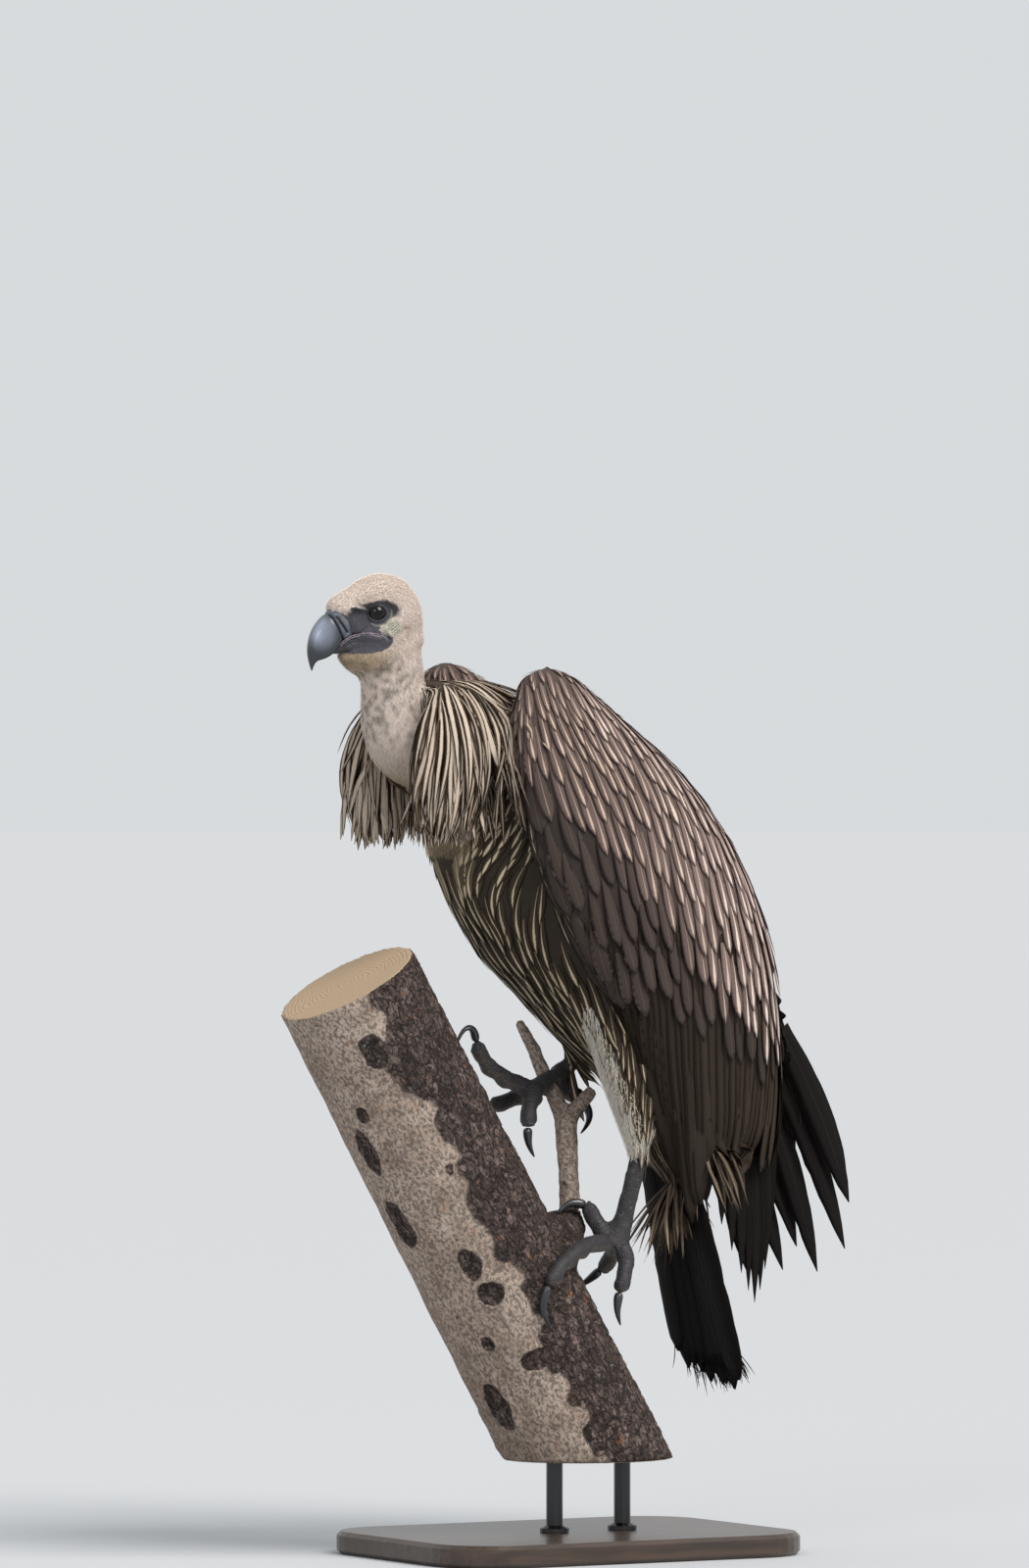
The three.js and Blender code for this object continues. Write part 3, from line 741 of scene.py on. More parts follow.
def thinned(points, gaps):
    """Indices of points no two of which are nearer than their gap."""
    cell = float(gaps.max())
    cells, kept = {}, []
    keys = np.floor(points / cell).astype(int)
    around = list(itertools.product((-1, 0, 1), repeat=3))
    for i, (p, (x, y, z), gap) in enumerate(zip(points.tolist(), keys.tolist(), (gaps**2).tolist())):
        near = (q for dx, dy, dz in around for q in cells.get((x + dx, y + dy, z + dz), ()))
        if all((p[0] - q[0]) ** 2 + (p[1] - q[1]) ** 2 + (p[2] - q[2]) ** 2 >= gap for q in near):
            cells.setdefault((x, y, z), []).append(p)
            kept.append(i)
    return np.array(kept, int)


def covered(skin, roots, gap):
    """Whether other parts of the skin lie closely over each root."""
    place, normal, _ = skin.nearest(roots)
    start = place + normal * 3 * MM
    return np.array([skin.shape.tree.ray_cast(p, n, gap)[0] is not None for p, n in zip(start, normal)])


def lay_spines(skin, roots, lie, length, loft, stations, rise=0.0, bow=None, sag=None):
    """Shafts laid over the skin from their roots: places, normals and the root's triangle on the skin.

    lie gives directions from places and normals. loft is how high a tip stands off the skin and rise how
    high a root does. bow turns each shaft to the side on its way, and sag pulls its free end down.
    """
    count = len(roots)
    length, loft, rise = (np.broadcast_to(np.asarray(v, float), (count,)) for v in (length, loft, rise))
    place, normal, face_at = skin.nearest(roots)
    spots = np.empty((count, stations, 3))
    norms = np.empty((count, stations, 3))
    step = length / (stations - 1)
    here = place + normal * rise[:, None]
    heading = None
    for k in range(stations):
        spots[:, k], norms[:, k] = here, normal
        if k == stations - 1:
            break
        share = (k + 1) / (stations - 1)
        want = lie(place, normal)
        if bow is not None:
            side = np.cross(normal, want)
            want = unit(want + side * (bow * (share - 0.4))[:, None])
        want = laid(want, normal)
        heading = want if heading is None else unit(0.45 * heading + 0.55 * want)
        ahead = here + heading * step[:, None]
        if sag is not None:
            ahead[:, 2] -= sag * share * step
        near, near_normal, _ = skin.nearest(ahead)
        target = near + near_normal * (rise + (loft - rise) * share)[:, None]
        pull = target - ahead
        far = np.linalg.norm(pull, axis=1, keepdims=True)
        limit = (0.45 * step)[:, None]
        passed = (near_normal * heading).sum(axis=1, keepdims=True) > 0.45
        attached = (far < 2.2 * limit) & ~passed
        pull = np.where(attached, pull * np.minimum(1, limit / np.maximum(far, 1e-9)), 0)
        here = ahead + pull
        place = near
        normal = unit(np.where(attached, 0.4 * normal + 0.6 * near_normal, normal))
    return spots, norms, face_at


PATCH = 0.003  # the width of each strip's patch on the skin's unwrap
THIN_TIP = 0.35  # how thick a strip is at its tip, against its root


def make_strips(name, finish, spots, norms, widths, thick, section, face_at, seed, camber, ragged,
                tints):
    """Joined strips of vane along many shafts, as one piece.

    Each has its own map of across and along, a patch where its root is on the skin's unwrap, and its tints.
    """
    shape = (*spots.shape[:2], len(section))
    pick = np.random.default_rng(seed)
    along = unit(np.gradient(spots, axis=1))
    side = unit(np.cross(along, norms))[:, :, None]
    lift = unit(np.cross(side, along[:, :, None]))
    jag = 1 + ragged * pick.normal(size=(*shape[:2], 2)).clip(-2, 2)
    reach = np.where(section[:, 0] < 0, jag[..., :1], jag[..., 1:]) * section[:, 0]
    across = reach * widths[..., None]
    taper = np.linspace(1, THIN_TIP, shape[1])[:, None]
    height = section[:, 1] * thick * taper - camber * np.abs(across) * np.abs(reach)
    verts = spots[:, :, None] + side * across[..., None] + lift * height[..., None]
    corner = np.arange(math.prod(shape)).reshape(shape)
    after = np.roll(corner, -1, axis=2)
    quads = np.stack([corner[:, :-1], corner[:, 1:], after[:, 1:], after[:, :-1]], -1).reshape(-1, 4)
    mesh = bpy.data.meshes.new(name)
    caps = corner[:, 0].tolist() + corner[:, -1, ::-1].tolist()
    mesh.from_pydata(verts.reshape(-1, 3), [], quads.tolist() + caps)

    own = np.empty((*shape, 2))
    own[..., 0] = (section[:, 0] + 1) / 2
    own[..., 1] = np.linspace(0, 1, shape[1])[:, None]
    patch = Coat.skin.unwrapped(face_at)[:, None, None] + PATCH * (own - 0.5)
    corners = pulled(mesh.loops, "vertex_index", 1, np.int32)[:, 0]
    for layer, places in (("vane", own), ("OFBake", patch)):
        places = places.reshape(-1, 2)[corners].astype(np.float32)
        mesh.uv_layers.new(name=layer).data.foreach_set("uv", places.ravel())
    for tint, values in tints.items():
        paint(mesh, tint, np.repeat(values, shape[1] * shape[2], axis=0))
    piece = link(name, mesh, finish_for(finish))
    return piece


def profile(stations, *knots):
    """A strip's half-width along its shaft, through (share, width) knots."""
    shares, widths = zip(*knots)
    return np.interp(np.linspace(0, 1, stations), shares, widths)


LANCE = [(0, 0.30), (0.2, 0.72), (0.5, 1.0), (0.75, 0.86), (0.92, 0.42), (1, 0.06)]
COVERT = [(0, 0.35), (0.3, 0.8), (0.6, 1.0), (0.8, 0.90), (0.93, 0.55), (1, 0.12)]
LONG = [(0, 0.45), (0.15, 0.85), (0.5, 1.0), (0.85, 0.9), (0.95, 0.62), (1, 0.14)]
LOCK = [(0, 0.8), (0.4, 1.0), (1, 0.08)]


def flow(*guides, reach=0.06):
    """A lie that turns smoothly between guides, each a place and the way the feathers point there."""
    places = np.array([g[0] for g in guides], float)
    ways = unit(np.array([g[1] for g in guides], float))

    def lie(points, normals):
        far = lengths(points[:, None] - places[None])
        weight = 1 / (far**2 + (0.15 * reach) ** 2) ** 1.5
        return laid((weight[..., None] * ways[None]).sum(axis=1), normals)

    return lie


def mirrored_flow(*left_guides, reach=0.06):
    """A lie given on the left side and mirrored to the right."""
    right = [((x, -y, z), (dx, -dy, dz)) for (x, y, z), (dx, dy, dz) in left_guides]
    return flow(*left_guides, *right, reach=reach)


# ---- materials


class Finish:
    """A new material and its nodes; the plain numbers given with its name are set on its surface shader."""

    def __init__(self, name, **constants):
        self.material = bpy.data.materials.new(name)
        self.material.use_nodes = True
        self.tree = self.material.node_tree
        self.shader = self.tree.nodes["Principled BSDF"]
        for key, value in constants.items():
            self.shader.inputs[key.replace("_", " ")].default_value = value

    def plug(self, value, socket):
        """Joins a socket to another node's output, or sets it to a plain number, vector or colour."""
        if isinstance(value, bpy.types.NodeSocket):
            self.tree.links.new(value, socket)
        elif socket.type == "RGBA":
            socket.default_value = (*value, 1.0)
        else:
            socket.default_value = value

    def colour(self, value):
        self.plug(value, self.shader.inputs["Base Color"])

    def node(self, kind, inputs=(), **settings):
        made = self.tree.nodes.new(f"ShaderNode{kind}")
        for key, value in settings.items():
            setattr(made, key, value)
        for key, value in dict(inputs).items():
            self.plug(value, made.inputs[key])
        return made

    def calc(self, operation, *values):
        return self.node("Math", enumerate(values), operation=operation).outputs[0]

    def times(self, a, b, plus=None):
        return self.calc("MULTIPLY", a, b) if plus is None else self.calc("MULTIPLY_ADD", a, b, plus)

    def remap(self, value, low, high, to_low=0.0, to_high=1.0):
        inputs = {"Value": value, "From Min": low, "From Max": high, "To Min": to_low, "To Max": to_high}
        return self.node("MapRange", inputs, interpolation_type="SMOOTHSTEP").outputs[0]

    def mixed(self, share, a, b, blend_type="MIX"):
        """Two colours mixed: a mixing node's sockets 6 and 7 are its colours, and 2 is what it gives."""
        return self.node("Mix", {0: share, 6: a, 7: b}, data_type="RGBA", blend_type=blend_type).outputs[2]

    def shaded(self, colour, shade):
        """A colour times a shade of grey."""
        grey = self.node("CombineColor", {0: shade, 1: shade, 2: shade}).outputs[0]
        return self.mixed(1.0, colour, grey, "MULTIPLY")

    def number(self, name):
        return self.node("Attribute", attribute_name=name).outputs["Fac"]

    def tint(self, name):
        return self.node("Attribute", attribute_name=name).outputs["Color"]

    def place(self):
        return self.node("TexCoord").outputs["Object"]

    def vane_place(self):
        """Two places on a strip's own map, across and along it."""
        return self.node("SeparateXYZ", {0: self.node("UVMap", uv_map="vane").outputs[0]}).outputs[:2]

    def grain(self, size, detail=3.0, roughness=0.55, vector=None, stretch=None):
        """Noise in the piece's own coordinates, with features of that size."""
        if vector is None:
            vector = self.place()
        if stretch is not None:
            vector = self.node("Mapping", {"Vector": vector, "Scale": stretch}).outputs[0]
        inputs = {"Vector": vector, "Scale": 1 / size, "Detail": detail, "Roughness": roughness}
        return self.node("TexNoise", inputs).outputs[0]

    def bumped(self, height, distance, strength=1.0):
        made = self.node("Bump", {"Height": height, "Distance": distance, "Strength": strength})
        self.plug(made.outputs[0], self.shader.inputs["Normal"])


def feather_material(name, streak_shape, edge=(1.0, 1.0, 1.0), edge_share=0.12, gloss=0.6, shine=0.2):
    """Vane with a streak along its shaft, fine slanting barbs and a faint edge.

    tone is the vane's colour, mark its streak's colour, streak how wide that is, and span the vane's length.
    """
    look = Finish(name, Roughness=gloss, Specular_IOR_Level=shine)
    over, along = look.vane_place()
    across = look.calc("ABSOLUTE", look.times(over, 2.0, -1.0))
    ramp = look.node("FloatCurve", {"Value": along})
    curve = ramp.mapping.curves[0]
    for _ in streak_shape[2:]:
        curve.points.new(0.5, 0.5)
    for place, point in zip(streak_shape, curve.points):
        point.location = place
    ramp.mapping.update()
    fray = look.times(look.grain(0.0022, 2.0), 0.5, 0.75)
    width = look.times(look.times(ramp.outputs[0], look.number("streak")), fray)
    streak = look.remap(across, width, look.times(width, 0.55))
    slant = look.times(across, -0.16, along)
    barb = look.calc("SINE", look.times(slant, look.times(look.number("span"), 5200.0)))
    split = look.grain(0.0016, 2.0)
    tone = look.tint("tone")
    shaded = look.shaded(tone, look.times(barb, 0.07, look.times(split, 0.5, 0.75)))
    # The edge is paler by the given factor: on the flight feathers these are their own paler edges; on the
    # coverts they are partly their own faint pale edges and partly painted light over the shadow lines between
    # feathers.
    rim = look.remap(across, 1.0 - edge_share, 1.0)
    rimmed = look.mixed(rim, shaded, look.mixed(1.0, shaded, edge, "MULTIPLY"))
    shaft = look.remap(across, 0.07, 0.02)
    mark = look.tint("mark")
    shafted = look.mixed(look.times(shaft, 0.25), rimmed, mark)
    pale = look.mixed(look.times(split, 0.4), mark, tone)
    look.colour(look.mixed(streak, shafted, pale))
    ridge = look.times(barb, 0.25, look.times(shaft, 1.5))
    look.bumped(look.calc("ADD", ridge, split), 0.25 * MM, 0.6)
    return look.material


def down_material(name):
    """Soft down: its tone, a little paler towards the tip of each tuft."""
    look = Finish(name, Roughness=0.9, Specular_IOR_Level=0.15, Sheen_Weight=0.2)
    _, along = look.vane_place()
    look.colour(look.shaded(look.tint("tone"), look.remap(along, 0.0, 0.8, 0.68, 1.12)))
    return look.material

SCUTE_LENGTH = 0.0044  # of each plate along a toe's back
FOLD_GAP = 0.0021  # between the fine folds round the eye


def skin_material():
    """Bare skin: matt under the coat, finely wrinkled on the face, and scaled on the feet."""
    look = Finish("vulture_skin", Specular_IOR_Level=0.3)
    coords = look.place()
    foot, bare, pale, over = (look.number(name) for name in ("foot", "bare", "pale", "scute"))
    rough = look.remap(look.calc("MAXIMUM", foot, bare), 0.1, 0.7, 0.95, 0.5)
    look.plug(rough, look.shader.inputs["Roughness"])

    cells = look.node("TexVoronoi", {"Vector": coords, "Scale": 400.0}, feature="DISTANCE_TO_EDGE")
    net = look.remap(cells.outputs[0], 0.02, 0.16)
    plates = look.calc("ABSOLUTE", look.calc("SINE", look.times(look.number("toe"), math.pi / SCUTE_LENGTH)))
    scutes = look.times(over, look.remap(plates, 0.10, 0.45))
    groove = look.times(look.calc("SUBTRACT", 1.0, over), net, scutes)

    speckle = look.calc("SUBTRACT", look.grain(0.0028, 5.0, 0.75, vector=coords), 0.5)
    base = look.shaded(look.tint("tone"), look.times(speckle, look.times(bare, 1.1, 0.5), 1.0))
    scaled = look.mixed(1.0, base, look.mixed(groove, (1.9, 1.85, 1.8), (0.8, 0.8, 0.83)), "MULTIPLY")
    base = look.mixed(foot, base, scaled)

    bend = look.times(look.grain(0.006, 3.0, vector=coords), 0.0045, look.number("fold"))
    fold = look.calc("SINE", look.times(bend, 2 * math.pi / FOLD_GAP))
    patchy = look.remap(look.grain(0.0045, 3.0, vector=coords), 0.62, 0.40, 0.15, 0.75)
    lines = look.times(look.remap(fold, 0.35, -0.6), patchy)
    look.colour(look.mixed(look.times(pale, lines), base, [1.4 * c for c in FACE_DARK]))

    wrinkle = look.grain(0.0016, 5.0, 0.7, vector=coords)
    wrinkle = look.times(wrinkle, look.times(bare, 2.0), wrinkle)
    folds = look.times(fold, look.times(pale, 0.5, look.times(bare, 0.10)))
    scales = look.times(look.times(groove, foot), 1.8)
    look.bumped(look.calc("ADD", look.calc("ADD", scales, folds), wrinkle), 0.5 * MM, 0.9)
    return look.material


# ---- how the plumage lies

HEAD_LIE = flow(
    ((-0.245, 0, 0.935), (1, 0, 0.45)),
    ((-0.215, 0, 0.950), (1, 0, -0.1)),
    ((-0.175, 0, 0.930), (0.35, 0, -1)),
    ((-0.165, 0, 0.890), (0.05, 0, -1)),
    ((-0.205, -0.030, 0.890), (0.8, 0, -0.75)),
    ((-0.205, 0.030, 0.890), (0.8, 0, -0.75)),
    ((-0.240, 0, 0.868), (0.9, 0, -0.55)),
    ((-0.225, 0, 0.848), (0.15, 0, -1)),
    ((-0.200, -0.030, 0.830), (0, 0, -1)),
    ((-0.200, 0.030, 0.830), (0, 0, -1)),
    ((-0.215, 0, 0.780), (0.1, 0, -1)),
    reach=0.03,
)
BODY_LIE = mirrored_flow(
    ((-0.156, -0.010, 0.700), (0.25, -0.1, -1)),
    ((-0.135, -0.050, 0.685), (-0.35, 0.25, -0.9)),
    ((-0.081, -0.082, 0.730), (-0.5, 0.1, -0.9)),
    ((-0.125, -0.075, 0.675), (-0.75, 0.3, -0.7)),
    ((-0.107, -0.090, 0.622), (-0.2, 0, -1)),
    ((-0.120, -0.020, 0.610), (0.45, -0.1, -0.9)),
    ((-0.074, -0.090, 0.556), (0.42, 0, -0.93)),
    ((-0.066, -0.005, 0.508), (0.62, 0, -0.8)),
    ((-0.018, -0.070, 0.480), (0.45, 0, -0.92)),
    ((0.100, -0.060, 0.650), (0.45, 0, -0.9)),
    ((0.060, -0.020, 0.450), (0.4, 0, -0.9)),
    ((0.110, -0.010, 0.400), (0.25, 0, -0.95)),
)
WING_LIE = mirrored_flow(
    ((-0.090, -0.100, 0.860), (0.1, -0.3, -1)),
    ((-0.112, -0.105, 0.800), (0.16, 0, -1)),
    ((-0.060, -0.120, 0.800), (0.40, 0, -0.93)),
    ((0.000, -0.110, 0.770), (0.46, 0, -0.9)),
    ((0.060, -0.060, 0.760), (0.48, 0, -0.88)),
    ((-0.060, -0.122, 0.700), (0.33, 0, -0.94)),
    ((0.040, -0.120, 0.680), (0.22, 0, -0.98)),
    ((0.120, -0.070, 0.660), (0.20, 0, -0.97)),
    ((0.180, -0.020, 0.640), (0.28, 0, -0.95)),
    ((0.000, -0.110, 0.580), (0.32, 0, -0.95)),
    ((0.100, -0.100, 0.560), (0.16, 0, -0.98)),
    ((0.200, -0.020, 0.540), (0.0, 0, -1)),
    ((0.050, -0.090, 0.450), (0.27, 0, -0.96)),
    ((0.120, -0.080, 0.430), (0.16, 0, -0.98)),
    ((0.185, -0.030, 0.430), (-0.08, 0, -1)),
)
THIGH_LIE = mirrored_flow(((0.03, -0.05, 0.55), (0.12, 0, -1)), ((0.045, -0.05, 0.42), (0.0, 0, -1)))


def ruff_lie(side):
    y = SIDES[side]
    return flow(
        ((-0.118, 0.012 * y, 0.850), (0.35, 0.5 * y, -0.5)),
        ((-0.100, 0.050 * y, 0.830), (0.50, 0.2 * y, -0.8)),
        ((-0.150, 0.060 * y, 0.805), (0.12, 0.1 * y, -1)),
        ((-0.185, 0.045 * y, 0.795), (-0.12, 0.1 * y, -1)),
        ((-0.205, 0.070 * y, 0.780), (-0.30, 0.1 * y, -1)),
        ((-0.115, 0.075 * y, 0.780), (0.30, 0, -0.95)),
        ((-0.150, 0.075 * y, 0.730), (0.03, 0, -1)),
        ((-0.110, 0.070 * y, 0.720), (0.12, 0, -1)),
        reach=0.03,
    )


# ---- pieces of plumage


class Coat:
    """The skin in use, and the finishes shared by the pieces that grow on it."""

    skin = None
    finishes = {}


STREAKS = {
    "ruff": [(0, 0.7), (0.3, 0.9), (0.7, 1.0), (0.93, 0.8), (1, 0.6)],
    "body": [(0, 0.1), (0.5, 0.35), (0.75, 0.85), (0.87, 1.0), (0.96, 0.7), (1, 0.3)],
    "covert": [(0, 0.1), (0.5, 0.28), (0.75, 0.75), (0.88, 1.0), (0.96, 0.75), (1, 0.35)],
    "flight": [(0, 1.0), (0.5, 0.8), (1, 0.5)],
}


VANE_LOOKS = {
    "ruff": {"gloss": 0.7, "shine": 0.08},
    "body": {"gloss": 0.7, "shine": 0.08},
    # The coverts' paler edges: partly their own colour, partly painted light over the shadow lines where the
    # feathers overlap.
    "covert": {"edge": (1.30, 1.27, 1.25), "shine": 0.08},
    "flight": {"edge": (3.2, 2.5, 2.0), "edge_share": 0.14, "gloss": 0.7, "shine": 0.07},
}


def finish_for(kind):
    """Makes each shared finish once."""
    if kind == "down" and kind not in Coat.finishes:
        Coat.finishes[kind] = down_material("down")
    elif kind not in Coat.finishes:
        Coat.finishes[kind] = feather_material(f"{kind}_feather", STREAKS[kind], **VANE_LOOKS[kind])
    return Coat.finishes[kind]


def scatter(name, finish, slot, roots, lie, length, half, loft, stations, section, knots, tone, seed,
            streak=0.0, mark=CREAM, thick=0.4, camber=0.12, ragged=0.0, bow=0.0, rise=0.3, sag=None,
            twist=0.0, varied=0.18, stray=10.0):
    """Grows strips from roots, whose sizes are numbers or one value for each root.

    A strip whose tip would stand more than stray millimetres off the plumage is left out.
    """
    pick = np.random.default_rng(seed)
    count = len(roots)
    length = np.broadcast_to(length, (count,)) * pick.uniform(0.86, 1.14, count)
    half = np.broadcast_to(half, (count,)) * pick.uniform(0.88, 1.12, count)
    loft = np.broadcast_to(loft, (count,)) * pick.uniform(0.7, 1.3, count)
    turn = bow * pick.normal(size=count)
    spots, norms, face_at = lay_spines(Coat.skin, roots, lie, length, loft, stations, rise * MM, turn, sag)
    near, _, _ = Coat.skin.nearest(spots[:, -1])
    close = lengths(spots[:, -1] - near) < loft + stray * MM
    kept = [values[close] for values in (spots, norms, face_at, length, half, tone)]
    spots, norms, face_at, length, half, tone = kept
    mark = np.broadcast_to(mark, (count, 3))[close]
    streak = np.broadcast_to(streak, (count,))[close]
    twist = np.broadcast_to(twist, (count, 1, 1))[close]
    count = len(spots)
    for _ in range(2):
        spots[:, 1:-1] = 0.5 * spots[:, 1:-1] + 0.25 * (spots[:, :-2] + spots[:, 2:])
    norms = unit(norms + twist * unit(np.cross(np.gradient(spots, axis=1), norms)))
    widths = half[:, None] * profile(stations, *knots)[None]
    shade = pick.uniform(1 - varied, 1 + varied, count)[:, None]
    tints = {"tone": tone * shade}
    if finish != "down":
        tints["mark"] = mark * pick.uniform(0.8, 1.15, (count, 1))
        tints["streak"] = streak * pick.uniform(0.75, 1.25, count)
        tints["span"] = length
    return make_strips(name, finish, spots, norms, widths, thick * MM, section, face_at, seed,
                       camber, ragged, tints)


def scatter_down(name, slot, roots, lie, length, half, loft, stations, tone, seed, **more):
    """Grows tufts of down, as thin spikes."""
    return scatter(name, "down", slot, roots, lie, length, half, loft, stations, SPIKE, LOCK, tone, seed,
                   camber=0, **more)


def grow_head_down(gap):
    def wanted(p, on):
        return (on == "head") & (bare_face(p) < 0.45)

    roots = Coat.skin.roots(wanted, gap, 31)
    tone = head_colour(roots)
    folds = pale_folds(roots) * (np.abs(roots[:, 1]) > 0.01)
    tone = blend(tone, FACE_PALE, 0.8 * folds)
    short = 1 - 0.6 * np.maximum(folds, smoothstep(0.02, 0.5, bare_face(roots)))
    keep = rng.random(len(roots)) > 0.75 * folds
    roots, tone, short = roots[keep], tone[keep], short[keep]
    scatter_down("head_down", "down", roots, HEAD_LIE, 3.8 * MM * short, 0.21 * MM, 3.1 * MM * short,
                 2, tone, 32, thick=0.2, bow=1.3, rise=-0.3, varied=0.12)


def grow_face_bristles():
    """Short sparse dark bristles over the bare skin in front of the eye."""

    def wanted(p, on):
        clear = np.minimum.reduce([lengths(p - centre) for centre in EYES.values()]) > 0.0135
        aside = (np.abs(p[:, 1]) > 0.006) & (p[:, 2] > MOUTH[0][1])
        return (on == "head") & (bare_face(p) > 0.4) & clear & aside

    roots = Coat.skin.roots(wanted, 1.6 * MM, 35)
    tone = blend(each(BRISTLE_DARK, roots), BRISTLE_PALE, rng.random(len(roots)) ** 3)
    scatter_down("face_bristles", "down", roots, HEAD_LIE, 2.6 * MM, 0.17 * MM, 1.2 * MM,
                 2, tone, 36, thick=0.2, bow=0.9, rise=-0.2)


def grow_neck_down(gap):
    def wanted(p, on):
        neck = (on == "neck_upper") | (on == "neck_lower")
        crop = (on == "breast") & (crop_share(p) > 0.35)
        return neck | crop

    roots = Coat.skin.roots(wanted, gap, 33)
    low = smoothstep(0.79, 0.74, roots[:, 2])
    tone = blend(head_colour(roots), CROP_DOWN, low)
    scatter_down("neck_down", "down", roots, HEAD_LIE, 4.4 * MM * (1 + 0.8 * low), 0.25 * MM, 2.7 * MM,
                 2, tone, 34, thick=0.15, bow=1.4, rise=-0.3)


def grow_ruff(side, gap):
    node = f"ruff_{side}"
    foot = lowest(node)[2]

    def wanted(p, on):
        return (on == node) & (p[:, 2] > foot + 0.030)

    top = highest(node)[2]

    def spacing(p):
        return gap * np.interp(p[:, 2], [top - 0.045, top - 0.012], [1.0, 0.6])

    roots = Coat.skin.roots(wanted, spacing, 41 + SIDES[side], rows=((0.1, 0, -1), 0.6))
    height = roots[:, 2] - foot
    length = np.clip(height * 0.75 + 0.012, 0.042, 0.105)
    spots, _, _ = lay_spines(Coat.skin, roots, ruff_lie(side), length, 9 * MM, 7, sag=0.3)
    hanging = roots[:, 2] - spots[:, -1, 2] > 0.3 * length
    roots, length = roots[hanging], length[hanging]
    streak = 0.50 * rng.uniform(0.45, 1.3, len(roots))
    brown = each(RUFF_BROWN, roots) * rng.uniform(0.35, 1.15, (len(roots), 1))
    ahead = smoothstep(-0.11, -0.16, roots[:, 0])
    streak = streak * (1 + 0.35 * ahead) * (1.5 if side == "right" else 1.0)
    scatter(f"ruff_feathers_{side}", "ruff", "ruff", roots, ruff_lie(side), length, 3.4 * MM, 9.0 * MM,
            13, VANE, LANCE, brown, 43 + SIDES[side], streak=streak, mark=(0.60, 0.50, 0.40),
            thick=0.35, ragged=0.10, bow=0.45, rise=1.0, sag=0.30, stray=34)


def grow_body(gap):
    def wanted(p, on):
        body = (on == "breast") | (on == "belly")
        return body & (crop_share(p) < 0.5) & (p[:, 0] < 0.13)

    def spacing(p):
        return gap * np.interp(p[:, 2], [0.665, 0.70], [1.0, 0.62])

    roots = Coat.skin.roots(wanted, spacing, 51, rows=((0.4, 0, -0.9), 0.42))
    roots = roots[~covered(Coat.skin, roots, 0.008)]
    low = smoothstep(0.56, 0.42, roots[:, 2])
    length = (64 + 14 * low) * MM * spacing(roots) / gap
    tone = body_colour(roots)
    scatter("body_feathers", "body", "plumage", roots, BODY_LIE, length, 5.8 * MM, 2.4 * MM,
            10, VANE, LANCE, tone, 52, streak=0.38, mark=(0.62, 0.50, 0.35), thick=0.18, camber=0.04,
            ragged=0.05, bow=0.22, rise=-0.3, varied=0.12, stray=24)


def grow_undertail():
    def wanted(p, on):
        return (on == "belly") & (p[:, 2] < 0.425) & (p[:, 0] > 0.06)

    roots = Coat.skin.roots(wanted, 3.6 * MM, 55)
    tone = blend(each(FLIGHT_BROWN, roots), VENT_PALE, rng.random(len(roots)) ** 1.2)
    scatter("undertail_feathers", "body", "plumage", roots, BODY_LIE, 84 * MM, 2.2 * MM, 5 * MM,
            9, BLADE, LANCE, tone, 56, streak=0.10, mark=(0.34, 0.25, 0.17), thick=0.3, ragged=0.25,
            bow=0.35, rise=-0.2, sag=0.5, stray=60)


def grow_thigh(side):
    node = f"thigh_{side}"

    def feathered(p, on):
        return (on == node) & (wool_share(p, side) < 0.65)

    roots = Coat.skin.roots(feathered, 6.6 * MM, 61 + SIDES[side], rows=((0.1, 0, -1), 0.45))
    tone = blend(each(BODY_BROWN, roots), WOOL, 0.5 * wool_share(roots, side))
    scatter(f"thigh_feathers_{side}", "body", "plumage", roots, THIGH_LIE, 40 * MM, 3.8 * MM, 3 * MM,
            8, VANE, LANCE, tone, 62, streak=0.30, mark=(0.60, 0.47, 0.32), thick=0.2, camber=0.04,
            ragged=0.07, bow=0.25, rise=0.2, varied=0.12)

    def woolly(p, on):
        return (on == node) & (wool_share(p, side) > 0.35)

    roots = Coat.skin.roots(woolly, 1.0 * MM, 65 + SIDES[side])
    roots = roots[~covered(Coat.skin, roots, 0.012)]
    scatter_down(f"thigh_wool_{side}", "plumage", roots, THIGH_LIE, 8 * MM, 0.30 * MM, 3.4 * MM,
                 3, each(WOOL, roots), 66, thick=0.2, bow=1.0, rise=-0.2, varied=0.08)


